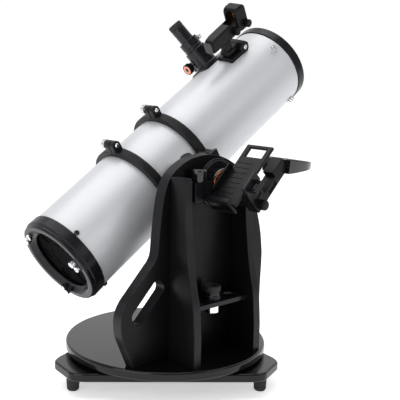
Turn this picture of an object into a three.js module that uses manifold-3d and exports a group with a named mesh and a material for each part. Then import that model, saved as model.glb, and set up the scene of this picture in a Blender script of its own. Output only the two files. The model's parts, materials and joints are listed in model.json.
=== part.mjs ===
// Table-top Dobsonian telescope: a one-armed laminate stand carrying a Newtonian tube in two clamp rings.
// Millimetres, +Z up. The tube points along +X and up; its open flank faces -Y.
import * as THREE from 'three';
import { mergeVertices } from 'three/addons/utils/BufferGeometryUtils.js';
import Module from 'manifold-3d';

const wasm = await Module();
wasm.setup();

const GAP = 0.3;                 // clearance left wherever two pieces meet
const DEG = Math.PI / 180;

// stand
const BOARD = 18;                // thickness of the laminate boards
const FOOT_HEIGHT = 33.5;
const FOOT_RADIUS = 12.5;
const FOOT_CIRCLE = 210;
const GROUND_APOTHEM = 154.5;    // straight sides of the ground board
const GROUND_REACH = 234;        // clipped corners of the ground board
const GROUND_TURN = 50.3;        // heading of the back corner
const CORNER_EASE = 28;          // length over which each corner is rounded
const GLIDE = 3;                 // a glide ring holds the turntable above the ground board
const TABLE_RADIUS = 203;
const GROUND_TOP = FOOT_HEIGHT + BOARD;
const TABLE_BOTTOM = GROUND_TOP + GLIDE;
const TABLE_TOP = TABLE_BOTTOM + BOARD;

// upright panel and its ribs
const PANEL_FACE = -99.3;        // outer face of the panel
const PANEL_THICK = 24.4;
const RIB_LEFT = -84;
const RIB_RIGHT = 78;
const RIB_LEFT_TOP = 422;
const RIB_RIGHT_TOP = 362;
const TRAY_TOP = 181;
const TRAY_THICK = 4;
const TRAY_FRONT = -150;

// altitude axis and tube
const AXIS_X = 34;
const AXIS_Z = 401;
const TUBE_Y = 79.4;             // tube centre line, measured from the azimuth axis
const ALTITUDE = 32.8;           // tube elevation at rest, degrees
const SHAFT_RADIUS = 11;
const TUBE_RADIUS = 92;
const TUBE_WALL = 1.8;
const TUBE_REAR = -261;
const TUBE_FRONT = 397;
const CELL_REAR = -291.5;
const RIM_FRONT = 419.5;
const CLAMP_AT = [-60, 62];      // ring centres along the tube
const CLAMP_WIDTH = 20;
const CLAMP_RADIUS = 103;
const LUG_RADIUS = 123;
const VANE_AT = 376;
const FOCUSER_AT = 281;
const FOCUSER_TURN = 27.5;       // focuser leans over the top towards +Y
const FINDER_TURN = -9;          // finder leans the other way, towards -Y
const DOCK_ANGLE = 45.3;         // slope of the device dock at rest
const PIVOT_RADIUS = 5;
const TRAY_HOLES = [-42, 4, 52]; // eyepiece holes along the tray
const TRAY_HOLE_Y = -126;
const HUB_BACK = PANEL_FACE - GAP;
const HUB_FACE = HUB_BACK - 7;
const KNOB_FACE = HUB_FACE - 15;
const SADDLE_FACE = PANEL_FACE + PANEL_THICK + 24 - TUBE_Y;   // dovetail seat, in the tube frame
const SCREW_AT = 114;            // clamp screws, out from the tube centre line
const NUT_END = 16.5;            // outer end of each clamp screw's cap nut
const VANE_LEANS = [-47, 43, 133, 223];   // spider vanes round the tube
const CELL_LEAN = -78;           // first pair of collimation screws
const CELL_SCREW_AT = 74;
const SCREW_PAIR = 7;            // half the distance between the two screws of a pair
const DIAGONAL_END = 319;        // where the diagonal's holder meets the spider's stalk
const DRAW_RADIUS = 19;
const PINION_Y = 23;
const PINION_Z = 113;
const KNOB_REACH = 32;

const LAMINATE = '#1c1c1f';
const PLASTIC = '#17181a';
const RUBBER = '#0e0e0f';
const CHROME = '#d5d7da';
const SILVER = '#c3c6c9';
const GLASS = '#a9b8c2';
const NYLON = '#e8e6df';
const ORANGE = '#d2601f';
const STEEL = '#8f9296';
const ANODISED = '#202123';
const CAST_GREY = '#3a3b3e';
const AMBER = '#b9772a';

const axis = [AXIS_X, 0, AXIS_Z];

const telescope = new THREE.Group();
telescope.name = 'dobsonian_telescope';

// ---- solid helpers ----

function toSolid(geometry) {
  const bare = geometry.index ? geometry.toNonIndexed() : geometry.clone();
  bare.deleteAttribute('normal');
  bare.deleteAttribute('uv');
  const merged = mergeVertices(bare, 1e-4);
  const at = merged.attributes.position.array;
  const index = Array.from(merged.index.array);
  const corners = [];
  for (let i = 0; i < index.length; i += 3) {
    const [a, b, c] = [index[i], index[i + 1], index[i + 2]];
    if (a !== b && b !== c && c !== a) {
      corners.push(a, b, c);
    }
  }
  let volume = 0;
  const [p, q, r] = [new THREE.Vector3(), new THREE.Vector3(), new THREE.Vector3()];
  for (let i = 0; i < corners.length; i += 3) {
    p.fromArray(at, corners[i] * 3);
    q.fromArray(at, corners[i + 1] * 3);
    r.fromArray(at, corners[i + 2] * 3);
    volume += p.dot(q.cross(r));
  }
  if (volume < 0) {
    corners.reverse();
  }
  const [vertProperties, triVerts] = [new Float32Array(at), new Uint32Array(corners)];
  return new wasm.Manifold(new wasm.Mesh({ numProp: 3, vertProperties, triVerts }));
}

function toGeometry(solid) {
  const mesh = solid.getMesh();
  const geometry = new THREE.BufferGeometry();
  geometry.setAttribute('position', new THREE.BufferAttribute(new Float32Array(mesh.vertProperties), 3));
  geometry.setIndex(new THREE.BufferAttribute(new Uint32Array(mesh.triVerts), 1));
  return geometry;
}

const join = (...solids) => solids.reduce((whole, piece) => whole.add(piece));
const cut = (base, ...tools) => tools.reduce((rest, tool) => rest.subtract(tool), base);

function moved(solid, frame) {
  return toSolid(toGeometry(solid).applyMatrix4(frame));
}

function place(name, solid, colour, frame = null, metalness = 0.1, roughness = 0.6) {
  const geometry = toGeometry(frame ? moved(solid, frame) : solid);
  const flat = geometry.toNonIndexed();
  flat.computeVertexNormals();
  const material = new THREE.MeshStandardMaterial({ color: colour, metalness, roughness });
  const mesh = new THREE.Mesh(flat, material);
  mesh.name = name;
  telescope.add(mesh);
}

function block(x0, x1, y0, y1, z0, z1) {
  const geometry = new THREE.BoxGeometry(x1 - x0, y1 - y0, z1 - z0);
  return toSolid(geometry.translate((x0 + x1) / 2, (y0 + y1) / 2, (z0 + z1) / 2));
}

// turns a geometry built round +Y so that it stands round the wanted axis
function aim(geometry, axis) {
  if (axis === 'x') {
    return geometry.rotateZ(-Math.PI / 2);
  }
  if (axis === 'z') {
    return geometry.rotateX(Math.PI / 2);
  }
  return geometry;
}

// cylinder along an axis from one height to another, centred on (x, y, z)
function rod(axis, from, to, radius, at = [0, 0, 0], sides = 32) {
  const geometry = new THREE.CylinderGeometry(radius, radius, to - from, sides);
  geometry.translate(0, (from + to) / 2, 0);
  return toSolid(aim(geometry, axis).translate(...at));
}

// body of revolution; the profile is a list of [radius, height] and closes on itself
function turned(axis, profile, at = [0, 0, 0], sides = 48) {
  const points = profile.map(([radius, height]) => new THREE.Vector2(radius, height));
  const onAxis = profile[0][0] === 0 && profile[profile.length - 1][0] === 0;
  if (!onAxis) {
    points.push(points[0].clone());
  }
  return toSolid(aim(new THREE.LatheGeometry(points, sides), axis).translate(...at));
}

// flat plate: an outline in XY pushed along +Z
function plate(shape, thickness, curveSegments = 12) {
  return toSolid(new THREE.ExtrudeGeometry(shape, { depth: thickness, bevelEnabled: false, curveSegments }));
}

// an XZ outline standing upright, filling from y0 to y1
function upright(shape, y0, y1, curveSegments = 12) {
  const stand = new THREE.Matrix4().makeRotationX(Math.PI / 2).setPosition(0, y1, 0);
  return moved(plate(shape, y1 - y0, curveSegments), stand);
}

function polygon(points) {
  return new THREE.Shape(points.map(([x, y]) => new THREE.Vector2(x, y)));
}

function roundedSlot(cx, cy, length, width, radius, turnDegrees) {
  const [hx, hy] = [length / 2, width / 2];
  const shape = new THREE.Shape();
  const corners = [[hx - radius, -hy + radius, -90], [hx - radius, hy - radius, 0],
    [-hx + radius, hy - radius, 90], [-hx + radius, -hy + radius, 180]];
  const points = [];
  for (const [x, y, start] of corners) {
    for (let step = 0; step <= 6; step += 1) {
      const angle = (start + step * 15) * DEG;
      points.push(new THREE.Vector2(x + radius * Math.cos(angle), y + radius * Math.sin(angle)));
    }
  }
  const [origin, centre] = [new THREE.Vector2(), new THREE.Vector2(cx, cy)];
  shape.setFromPoints(points.map((point) => point.rotateAround(origin, turnDegrees * DEG).add(centre)));
  return shape;
}

// ---- frames ----

// tube frame: X along the tube from the altitude axis, Y sideways from the tube centre line, Z square to both
const tubeFrame = new THREE.Matrix4().makeRotationY(-ALTITUDE * DEG).setPosition(AXIS_X, TUBE_Y, AXIS_Z);

// a frame turned round the tube: Z points out of the tube wall at the given lean
function wallFrame(along, leanDegrees) {
  const lean = new THREE.Matrix4().makeRotationX(-leanDegrees * DEG);
  return tubeFrame.clone().multiply(new THREE.Matrix4().makeTranslation(along, 0, 0)).multiply(lean);
}

// dock frame: X up the slope of the dock, Y as the world's, Z square to the dock, origin on the altitude axis
const dockFrame = new THREE.Matrix4().makeRotationY(-DOCK_ANGLE * DEG).setPosition(AXIS_X, 0, AXIS_Z);

// ---- ground base ----

function groundCorner(k) {
  return (GROUND_TURN + 120 * k) * DEG;
}

// triangle with clipped and eased corners
function groundOutline() {
  const clip = (2 * GROUND_APOTHEM - GROUND_REACH) / Math.sqrt(3);
  const points = [];
  for (let k = 0; k < 3; k += 1) {
    const out = new THREE.Vector2(Math.cos(groundCorner(k)), Math.sin(groundCorner(k)));
    const side = new THREE.Vector2(-out.y, out.x);
    for (const sign of [-1, 1]) {
      const corner = out.clone().multiplyScalar(GROUND_REACH).addScaledVector(side, sign * clip);
      const alongSide = out.clone().multiplyScalar(-Math.cos(30 * DEG)).addScaledVector(side, sign * 0.5);
      const ends = [corner.clone().addScaledVector(side, -sign * CORNER_EASE * 0.6),
        corner.clone().addScaledVector(alongSide, CORNER_EASE)];
      const [first, last] = sign < 0 ? [ends[1], ends[0]] : ends;
      points.push(...new THREE.QuadraticBezierCurve(first, corner, last).getPoints(5));
    }
  }
  return new THREE.Shape(points);
}

function buildGround() {
  const lift = new THREE.Matrix4().makeTranslation(0, 0, FOOT_HEIGHT + GAP);
  const bore = rod('z', 0, 100, PIVOT_RADIUS + GAP, [0, 0, 0], 20);
  place('ground_board', cut(moved(plate(groundOutline(), BOARD - 2 * GAP), lift), bore), LAMINATE);
  for (let k = 0; k < 3; k += 1) {
    const at = [FOOT_CIRCLE * Math.cos(groundCorner(k)), FOOT_CIRCLE * Math.sin(groundCorner(k)), 0];
    const profile = [[0, 0], [FOOT_RADIUS - 4, 0], [FOOT_RADIUS - 1.2, 3], [FOOT_RADIUS, 8],
      [FOOT_RADIUS + 0.8, FOOT_HEIGHT], [0, FOOT_HEIGHT]];
    place(`foot_${k + 1}`, turned('z', profile, at, 28), RUBBER, null, 0, 0.9);
  }
  const glide = [[104, GROUND_TOP], [130, GROUND_TOP], [130, TABLE_BOTTOM - GAP], [104, TABLE_BOTTOM - GAP]];
  place('glide_ring', turned('z', glide, [0, 0, 0], 48), NYLON, null, 0, 0.5);
  const head = rod('z', FOOT_HEIGHT - 9, FOOT_HEIGHT, 10, [0, 0, 0], 6);
  const shank = rod('z', FOOT_HEIGHT - 5, TABLE_TOP + 8, PIVOT_RADIUS, [0, 0, 0], 20);
  place('pivot_bolt', join(head, shank), CHROME, null, 1, 0.3);
}

// ---- turntable, panel, ribs, tray ----

function buildTurntable() {
  const [r, z0, z1] = [TABLE_RADIUS, TABLE_BOTTOM, TABLE_TOP];
  const bore = PIVOT_RADIUS + GAP;
  const profile = [[bore, z0], [r - 5, z0], [r - 1.5, z0 + 2], [r, z0 + 6], [r, z1 - 6], [r - 1.5, z1 - 2],
    [r - 4, z1], [bore, z1]];
  place('turntable', turned('z', profile, [0, 0, 0], 72), LAMINATE, null, 0.1, 0.35);
  const washer = rod('z', z1 + GAP, z1 + 3, 14, [0, 0, 0], 28);
  const nut = join(washer, rod('z', z1 + 2, z1 + 11, 9, [0, 0, 0], 6));
  place('pivot_nut', cut(nut, rod('z', z1, z1 + 8 + GAP, bore, [0, 0, 0], 20)), CHROME, null, 1, 0.3);
}

const toPoints = (list) => list.map(([x, y]) => new THREE.Vector2(x, y));

function panelOutline() {
  const foot = TABLE_TOP + GAP;
  const shape = new THREE.Shape();
  shape.moveTo(-167, foot);
  shape.lineTo(175, foot);
  shape.splineThru(toPoints([[176, 110], [175, 164], [177, 226], [176, 252], [168, 298], [151, 347],
    [120, 401], [95, 427], [73, 441], [44, 452], [15, 457]]));
  shape.splineThru(toPoints([[-8, 456], [-41, 449], [-71, 433], [-88, 414], [-99, 386], [-104, 358],
    [-107, 335], [-110, 307], [-113, 278], [-120, 264]]));
  shape.lineTo(-183, 201);
  shape.splineThru(toPoints([[-192, 188], [-197, 174], [-198, 156], [-195, 136], [-189, 121]]));
  shape.lineTo(-167, foot);
  return shape;
}

// side view of a rib: deep at the turntable, shallow towards the top, with an S-shaped front edge
function ribOutline(top) {
  const foot = TABLE_TOP + GAP;
  const front = [[171.5, 125], [169.5, 150], [166, 186], [159, 216], [152, 250], [147.5, 280], [142.5, 318],
    [139.5, 358], [138.2, 400], [138, 416]];
  const kept = front.filter(([, z]) => z < top - 3);
  const depth = kept[kept.length - 1][0];
  const shape = new THREE.Shape();
  shape.moveTo(GAP - PANEL_FACE, foot);
  shape.lineTo(front[0][0], foot);
  shape.splineThru(toPoints(kept));
  shape.lineTo(depth - 3, top);
  shape.lineTo(GAP - PANEL_FACE, top);
  shape.closePath();
  return shape;
}

function rib(x, top) {
  // the outline's X runs towards -Y and its Y runs up
  const stand = new THREE.Matrix4().set(0, 0, 1, x, -1, 0, 0, 0, 0, 1, 0, 0, 0, 0, 0, 1);
  return moved(plate(ribOutline(top), BOARD, 3), stand);
}

function buildPanel() {
  const [y0, y1] = [PANEL_FACE, PANEL_FACE + PANEL_THICK];
  const handle = upright(roundedSlot(-134, 192, 93, 31.5, 13, 45), y0 - 5, y1 + 5);
  const bore = rod('y', y0 - 5, y1 + 5, SHAFT_RADIUS + 5 + GAP, axis, 32);
  place('side_panel', cut(upright(panelOutline(), y0, y1, 4), handle, bore), LAMINATE);
  place('rib_left', rib(RIB_LEFT, RIB_LEFT_TOP), LAMINATE);
  place('rib_right', rib(RIB_RIGHT, RIB_RIGHT_TOP), LAMINATE);
  const sleeve = rod('y', y0 + GAP, y1 - GAP, SHAFT_RADIUS + 5, axis, 32);
  const shaftRoom = rod('y', y0 - 5, y1 + 5, SHAFT_RADIUS + GAP, axis, 32);
  place('altitude_bushing', cut(sleeve, shaftRoom), NYLON, null, 0, 0.5);
}

function eyepieceProfile(seat) {
  return [[0, seat - 25], [15.9, seat - 25], [15.9, seat], [18.5, seat], [18.5, seat + 7], [16.5, seat + 9],
    [16.5, seat + 16], [17.5, seat + 17], [17.5, seat + 25], [14, seat + 27], [0, seat + 27]];
}

function buildTray() {
  const [x0, x1] = [RIB_LEFT + BOARD + GAP, RIB_RIGHT - GAP];
  const holes = TRAY_HOLES.map((x) => rod('z', TRAY_TOP - 20, TRAY_TOP + 20, 16.6, [x, TRAY_HOLE_Y, 0], 28));
  const shelf = block(x0, x1, TRAY_FRONT, PANEL_FACE - GAP, TRAY_TOP - TRAY_THICK, TRAY_TOP);
  const lip = block(x0, x1, TRAY_FRONT, TRAY_FRONT + 2.5, TRAY_TOP - 9, TRAY_TOP);
  place('accessory_tray', cut(join(shelf, lip), ...holes), PLASTIC, null, 0.1, 0.4);
  const spare = turned('z', eyepieceProfile(TRAY_TOP + GAP), [TRAY_HOLES[1], TRAY_HOLE_Y, 0], 28);
  place('spare_eyepiece', spare, ANODISED, null, 0.4, 0.3);
}

// ---- altitude bearing: hub and knob outside the panel, saddle and dovetail inside ----

function knurled(radius, from, to, at, teeth) {
  const points = [];
  for (let k = 0; k < teeth * 2; k += 1) {
    const reach = k % 2 ? radius : radius - 0.9;
    const angle = (k * Math.PI) / teeth;
    points.push([reach * Math.cos(angle), reach * Math.sin(angle)]);
  }
  return moved(upright(polygon(points), from, to), new THREE.Matrix4().makeTranslation(...at));
}

function buildAltitude() {
  const inner = PANEL_FACE + PANEL_THICK + GAP;
  const flange = rod('y', inner, inner + 12, 38, axis, 40);
  const shaft = rod('y', KNOB_FACE + 10, inner + 12, SHAFT_RADIUS, axis, 32);
  place('altitude_shaft', join(shaft, flange), STEEL, null, 0.9, 0.4);
  const rim = [[0, HUB_BACK], [47, HUB_BACK], [48, HUB_BACK - 1.5], [46, HUB_FACE], [0, HUB_FACE]];
  const disc = turned('y', rim, axis, 40);
  const bracket = block(-44, 8, HUB_BACK - 24, HUB_BACK, 373, 410);
  const knobRoom = rod('y', HUB_BACK - 40, HUB_FACE, 33, axis, 40);
  const bore = rod('y', -200, 0, SHAFT_RADIUS + GAP, axis, 32);
  place('altitude_hub', cut(join(disc, cut(bracket, knobRoom)), bore), PLASTIC, null, 0.1, 0.35);
  const knob = turned('y', [[0, HUB_FACE - GAP], [30, HUB_FACE - GAP], [30, KNOB_FACE + 3], [28.5, KNOB_FACE],
    [27.5, KNOB_FACE], [27.5, KNOB_FACE + 3], [0, KNOB_FACE + 3]], axis, 40);
  const socket = rod('y', KNOB_FACE + 10 - GAP, 0, SHAFT_RADIUS + GAP, axis, 32);
  place('altitude_knob', cut(knob, socket), PLASTIC, null, 0.1, 0.3);
  const [ringFace, ringBack] = [KNOB_FACE - 0.5, KNOB_FACE + 3 - GAP];
  const ring = [[21.5, ringFace], [27.2, ringFace], [27.2, ringBack], [21.5, ringBack]];
  place('altitude_knob_ring', turned('y', ring, axis, 40), ORANGE, null, 0.3, 0.35);

  const face = inner + 12 + GAP - TUBE_Y;
  const plateau = block(-62, 62, face, SADDLE_FACE, -40, 40);
  const lowerJaw = block(-62, 62, face, SADDLE_FACE + 9, -40, -22.9);
  const upperJaw = block(-62, 62, face, SADDLE_FACE + 9, 22.9, 40);
  const saddle = join(plateau, lowerJaw, upperJaw);
  const screwHole = rod('z', 20, 60, 3.3, [0, SADDLE_FACE + 5, 0], 16);
  place('saddle', cut(saddle, screwHole), PLASTIC, tubeFrame, 0.3, 0.5);
  const seat = SADDLE_FACE + GAP;
  const section = polygon([[seat, -22.5], [seat + 10, -20], [seat + 10, 20], [seat, 22.5]]);
  // the section's X runs along Y and its Y along Z; it is drawn out along X
  const alongTube = new THREE.Matrix4().set(0, 0, 1, -88, 1, 0, 0, 0, 0, 1, 0, 0, 0, 0, 0, 1);
  place('dovetail_bar', moved(plate(section, 178), alongTube), STEEL, tubeFrame, 0.9, 0.4);
  const screwAt = [0, SADDLE_FACE + 5, 0];
  const grip = turned('z', [[0, 40.4], [11, 40.4], [12, 43], [12, 56], [10, 58], [0, 58]], screwAt, 20);
  place('saddle_knob', join(grip, rod('z', 23.2, 45, 3, screwAt, 16)), PLASTIC, tubeFrame, 0.2, 0.5);
}

// ---- clamp rings ----

function clampHalf(centre, side) {
  const [x0, x1] = [centre - CLAMP_WIDTH / 2, centre + CLAMP_WIDTH / 2];
  const [bore, rim] = [TUBE_RADIUS + GAP, CLAMP_RADIUS];
  const profile = [[bore, x0], [rim - 1.5, x0], [rim, x0 + 1.5], [rim, x1 - 1.5], [rim - 1.5, x1],
    [bore, x1]];
  const band = turned('x', profile, [0, 0, 0], 56);
  const span = (y0, y1, z0, z1) => block(x0, x1, ...(side < 0 ? [-y1, -y0] : [y0, y1]), z0, z1);
  const lugTop = rod('y', -20, 20, 13, [centre, 0, LUG_RADIUS - 13], 24);
  const lugShape = join(lugTop, block(x0, x1, -20, 20, 0, LUG_RADIUS - 13));
  const lug = span(0.9, 13, rim - 5, LUG_RADIUS).intersect(lugShape);
  const hinge = span(0.4, 9, -rim - 6, -rim + 2);
  let half = join(band.intersect(span(0.4, 200, -200, 200)), lug, hinge);
  if (side < 0) {
    const foot = block(x0, x1, SADDLE_FACE + 10 + 2 * GAP, 5 - rim, -20, 20);
    const capNut = rod('y', -NUT_END, -12, 4.6, [centre, 0, SCREW_AT], 16);
    half = join(half, capNut, cut(foot, rod('x', x0 - 1, x1 + 1, rim - 3, [0, 0, 0], 56)));
  }
  // the bore leaves room for the stem to follow the arc of the opening half
  return cut(half, rod('y', 1.5 - NUT_END, 40, 3.6, [centre, 0, SCREW_AT], 16));
}

function buildClamps() {
  CLAMP_AT.forEach((centre, k) => {
    const tag = k + 1;
    const at = [centre, 0, SCREW_AT];
    place(`ring_${tag}_fixed`, clampHalf(centre, -1), PLASTIC, tubeFrame, 0.4, 0.45);
    place(`ring_${tag}_swing`, clampHalf(centre, 1), PLASTIC, tubeFrame, 0.4, 0.45);
    const stem = rod('y', 2.5 - NUT_END, 18, 2.9, at, 16);
    const neck = rod('y', 13.4, 17, 6, at, 20);
    place(`ring_${tag}_screw`, join(stem, neck, knurled(10, 17, 28, at, 16)), CHROME, tubeFrame, 1, 0.25);
  });
}

// ---- optical tube ----

function buildTube() {
  const [r, inside] = [TUBE_RADIUS, TUBE_RADIUS - TUBE_WALL];
  const wall = [[inside, TUBE_REAR], [r, TUBE_REAR], [r, TUBE_FRONT], [inside, TUBE_FRONT]];
  const skin = turned('x', wall, [0, 0, 0], 64);
  const lean = new THREE.Matrix4().makeRotationX(-FOCUSER_TURN * DEG);
  const port = moved(rod('z', 60, 120, 24, [FOCUSER_AT, 0, 0], 28), lean);
  const studs = VANE_LEANS.map((turn) => moved(rod('z', 80, 100, 2.8, [VANE_AT, 0, 0], 12),
    new THREE.Matrix4().makeRotationX(-turn * DEG)));
  place('tube', cut(skin, port, ...studs), SILVER, tubeFrame, 0.7, 0.35);

  const bore = inside - GAP;
  const rear = [[bore, TUBE_REAR + 14], [bore, TUBE_REAR - GAP], [94, TUBE_REAR - GAP], [94, CELL_REAR + 8],
    [91.5, CELL_REAR + 6.5], [91.5, CELL_REAR + 2], [90, CELL_REAR], [79, CELL_REAR], [66, CELL_REAR + 9],
    [66, CELL_REAR + 13], [83, CELL_REAR + 13], [86, TUBE_REAR + 14]];
  const holes = [];
  for (let k = 0; k < 3; k += 1) {
    for (const y of [-SCREW_PAIR, SCREW_PAIR]) {
      const turn = new THREE.Matrix4().makeRotationX(-(CELL_LEAN + 120 * k) * DEG);
      holes.push(moved(rod('x', CELL_REAR - 9, CELL_REAR + 20, 3.3, [0, y, CELL_SCREW_AT], 12), turn));
    }
  }
  place('cell_ring', cut(turned('x', rear, [0, 0, 0], 56), ...holes), PLASTIC, tubeFrame, 0.2, 0.45);

  const front = [[bore, TUBE_FRONT - 6], [86.5, TUBE_FRONT - 6], [84.5, RIM_FRONT - 6], [84.5, RIM_FRONT - 2],
    [86.5, RIM_FRONT], [92.5, RIM_FRONT], [94, RIM_FRONT - 1.5], [94, TUBE_FRONT + GAP],
    [bore, TUBE_FRONT + GAP]];
  place('front_ring', turned('x', front, [0, 0, 0], 56), PLASTIC, tubeFrame, 0.2, 0.45);
}

function buildMirrors() {
  // the mirror cell is a plate held behind the rear ring's shoulder; the primary mirror rests on its front
  const back = CELL_REAR + 16;
  const cell = turned('x', [[0, back], [81, back], [81, back + 6], [0, back + 6]], [0, 0, 0], 40);
  place('mirror_cell', cell, CAST_GREY, tubeFrame, 0.6, 0.5);
  const glass = back + 6 + GAP;
  const dish = [[0, glass], [75, glass], [75, glass + 19], [50, glass + 17.9], [25, glass + 17.2],
    [0, glass + 17]];
  place('primary_mirror', turned('x', dish, [0, 0, 0], 48), GLASS, tubeFrame, 0.9, 0.05);

  // a collimation screw and a lock screw stand side by side, three times round the rear face
  for (let k = 0; k < 3; k += 1) {
    const frame = wallFrame(0, CELL_LEAN + 120 * k);
    for (const [kind, y, length] of [['collimation', SCREW_PAIR, 10], ['lock', -SCREW_PAIR, 7]]) {
      const grip = rod('x', CELL_REAR - GAP - length, CELL_REAR - GAP, 6.6, [0, y, CELL_SCREW_AT], 20);
      const stem = rod('x', CELL_REAR - 2, back - GAP, 3, [0, y, CELL_SCREW_AT], 12);
      place(`${kind}_screw_${k + 1}`, join(grip, stem), CHROME, frame, 1, 0.25);
    }
  }

  // spider: four vanes whose studs pass through the tube wall into thumb nuts, and a hub with a stalk
  const reach = TUBE_RADIUS - TUBE_WALL - 1;
  const spider = [rod('x', VANE_AT - 20, VANE_AT + 18, 14, [0, 0, 0], 28),
    rod('x', DIAGONAL_END + GAP, VANE_AT - 15, 6, [0, 0, 0], 20)];
  for (const turn of VANE_LEANS) {
    const vane = block(VANE_AT - 13, VANE_AT + 13, -0.6, 0.6, 5, reach);
    const stud = rod('z', reach - 5, TUBE_RADIUS + 5, 2.5, [VANE_AT, 0, 0], 12);
    const nut = rod('z', TUBE_RADIUS + GAP, TUBE_RADIUS + 8, 6, [VANE_AT, 0, 0], 16);
    spider.push(moved(join(vane, stud, nut), new THREE.Matrix4().makeRotationX(-turn * DEG)));
  }
  place('spider', join(...spider), PLASTIC, tubeFrame, 0.3, 0.5);

  // the diagonal faces the primary mirror and the focuser at 45 degrees
  const tilt = new THREE.Matrix4().makeRotationY(-45 * DEG);
  const slab = (from, to) => moved(block(-90, 90, -60, 60, from, to), tilt);
  const barrel = (from, to) => rod('x', from, to, 20, [0, 0, 0], 32);
  const frame = wallFrame(FOCUSER_AT, FOCUSER_TURN);
  place('diagonal_mirror', barrel(-40, 40).intersect(slab(-5, 0)), GLASS, frame, 0.9, 0.05);
  place('diagonal_holder', cut(barrel(-10, DIAGONAL_END - FOCUSER_AT), slab(-5 - GAP, 90)), PLASTIC, frame);
}

// ---- focuser ----

function buildFocuser() {
  const frame = wallFrame(FOCUSER_AT, FOCUSER_TURN);
  const tubeSkin = rod('x', -80, 80, TUBE_RADIUS + GAP, [0, 0, 0], 64);
  const flange = cut(block(-36, 40, -33, 33, 60, 98), tubeSkin);
  const neckSide = [[0, 80], [33, 80], [33, 98], [26, 108], [23.5, 116], [23.5, 138], [0, 138]];
  const neck = cut(turned('z', neckSide, [0, 0, 0], 36), tubeSkin);
  const housing = block(-18, 18, 8, PINION_Y + 8, 96, PINION_Z + 9);
  const bores = [rod('z', 60, 150, DRAW_RADIUS + GAP, [0, 0, 0], 32),
    rod('x', -40, 40, 3.3, [0, PINION_Y, PINION_Z], 16)];
  place('focuser_body', cut(join(flange, neck, housing), ...bores), PLASTIC, frame, 0.2, 0.4);

  const draw = [[16.4, 84], [DRAW_RADIUS, 84], [DRAW_RADIUS, 138 + GAP], [22, 138 + GAP], [22, 162],
    [21, 163], [16.4, 163]];
  const screwHole = rod('x', 10, 30, 2.8, [0, 0, 154], 12);
  place('drawtube', cut(turned('z', draw, [0, 0, 0], 36), screwHole), ANODISED, frame, 0.6, 0.3);
  const eyepiece = [[0, 140], [15.9, 140], [15.9, 206], [14.5, 209], [0, 209]];
  place('eyepiece', turned('z', eyepiece, [0, 0, 0], 32), ANODISED, frame, 0.4, 0.3);
  const grip = rod('x', 25, 35, 5, [0, 0, 154], 16);
  place('eyepiece_screw', join(grip, rod('x', 16.3, 26, 2.5, [0, 0, 154], 12)), CHROME, frame, 1, 0.25);

  const pinionAt = [0, PINION_Y, PINION_Z];
  place('pinion_shaft', rod('x', -KNOB_REACH, KNOB_REACH, 3, pinionAt, 16), CHROME, frame, 1, 0.25);
  const socket = rod('x', -KNOB_REACH - GAP, KNOB_REACH + GAP, 3.3, pinionAt, 16);
  const [near, far] = [KNOB_REACH - 7.5, KNOB_REACH + 4.5];
  const knob = [[0, near], [11, near], [12.5, near + 2], [12.5, far - 1], [11.5, far], [0, far]];
  for (const [tag, side] of [[1, -1], [2, 1]]) {
    const profile = knob.map(([radius, x]) => [radius, side * x]);
    place(`focus_knob_${tag}`, cut(turned('x', profile, pinionAt, 28), socket), PLASTIC, frame, 0.2, 0.4);
  }
}

// ---- finder ----

function buildFinder() {
  const frame = wallFrame(0, FINDER_TURN);
  const skin = rod('x', 240, 400, TUBE_RADIUS + GAP, [0, 0, 0], 64);
  const shoe = join(block(282, 350, -22, 22, 70, 106), block(282, 306, -9, 9, 100, 134));
  place('finder_shoe', cut(shoe, skin), PLASTIC, frame, 0.1, 0.45);

  const bottom = 134 + GAP;
  const body = join(block(246, 352, -13, 13, bottom, 160), block(246, 332, -9, 9, 158, 170));
  const head = upright(roundedSlot(348, 164, 34, 56, 10, 0), -18, 18);
  // a plate in YZ, drawn out along X from x
  const facing = (x) => new THREE.Matrix4().set(0, 0, 1, x, 1, 0, 0, 0, 0, 1, 0, 170, 0, 0, 0, 1);
  const window = moved(plate(roundedSlot(0, 0, 26, 36, 11, 0), 80), facing(310));
  place('finder_body', cut(join(body, head), window), PLASTIC, frame, 0.1, 0.45);
  const lens = moved(plate(roundedSlot(0, 0, 25.4, 35.4, 10.7, 0), 2.5), facing(352));
  place('finder_lens', lens, AMBER, frame, 0.5, 0.1);
  for (const [tag, x, y, z] of [[1, 356, -18, 147], [2, 322, -13, 146]]) {
    const side = [[0, y - GAP], [8, y - GAP], [8.5, y - 2], [8.5, y - 9], [7, y - 11], [0, y - 11]];
    place(`finder_knob_${tag}`, turned('y', side, [x, 0, z], 24), PLASTIC, frame, 0.1, 0.4);
  }
}

// ---- device dock ----

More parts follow.
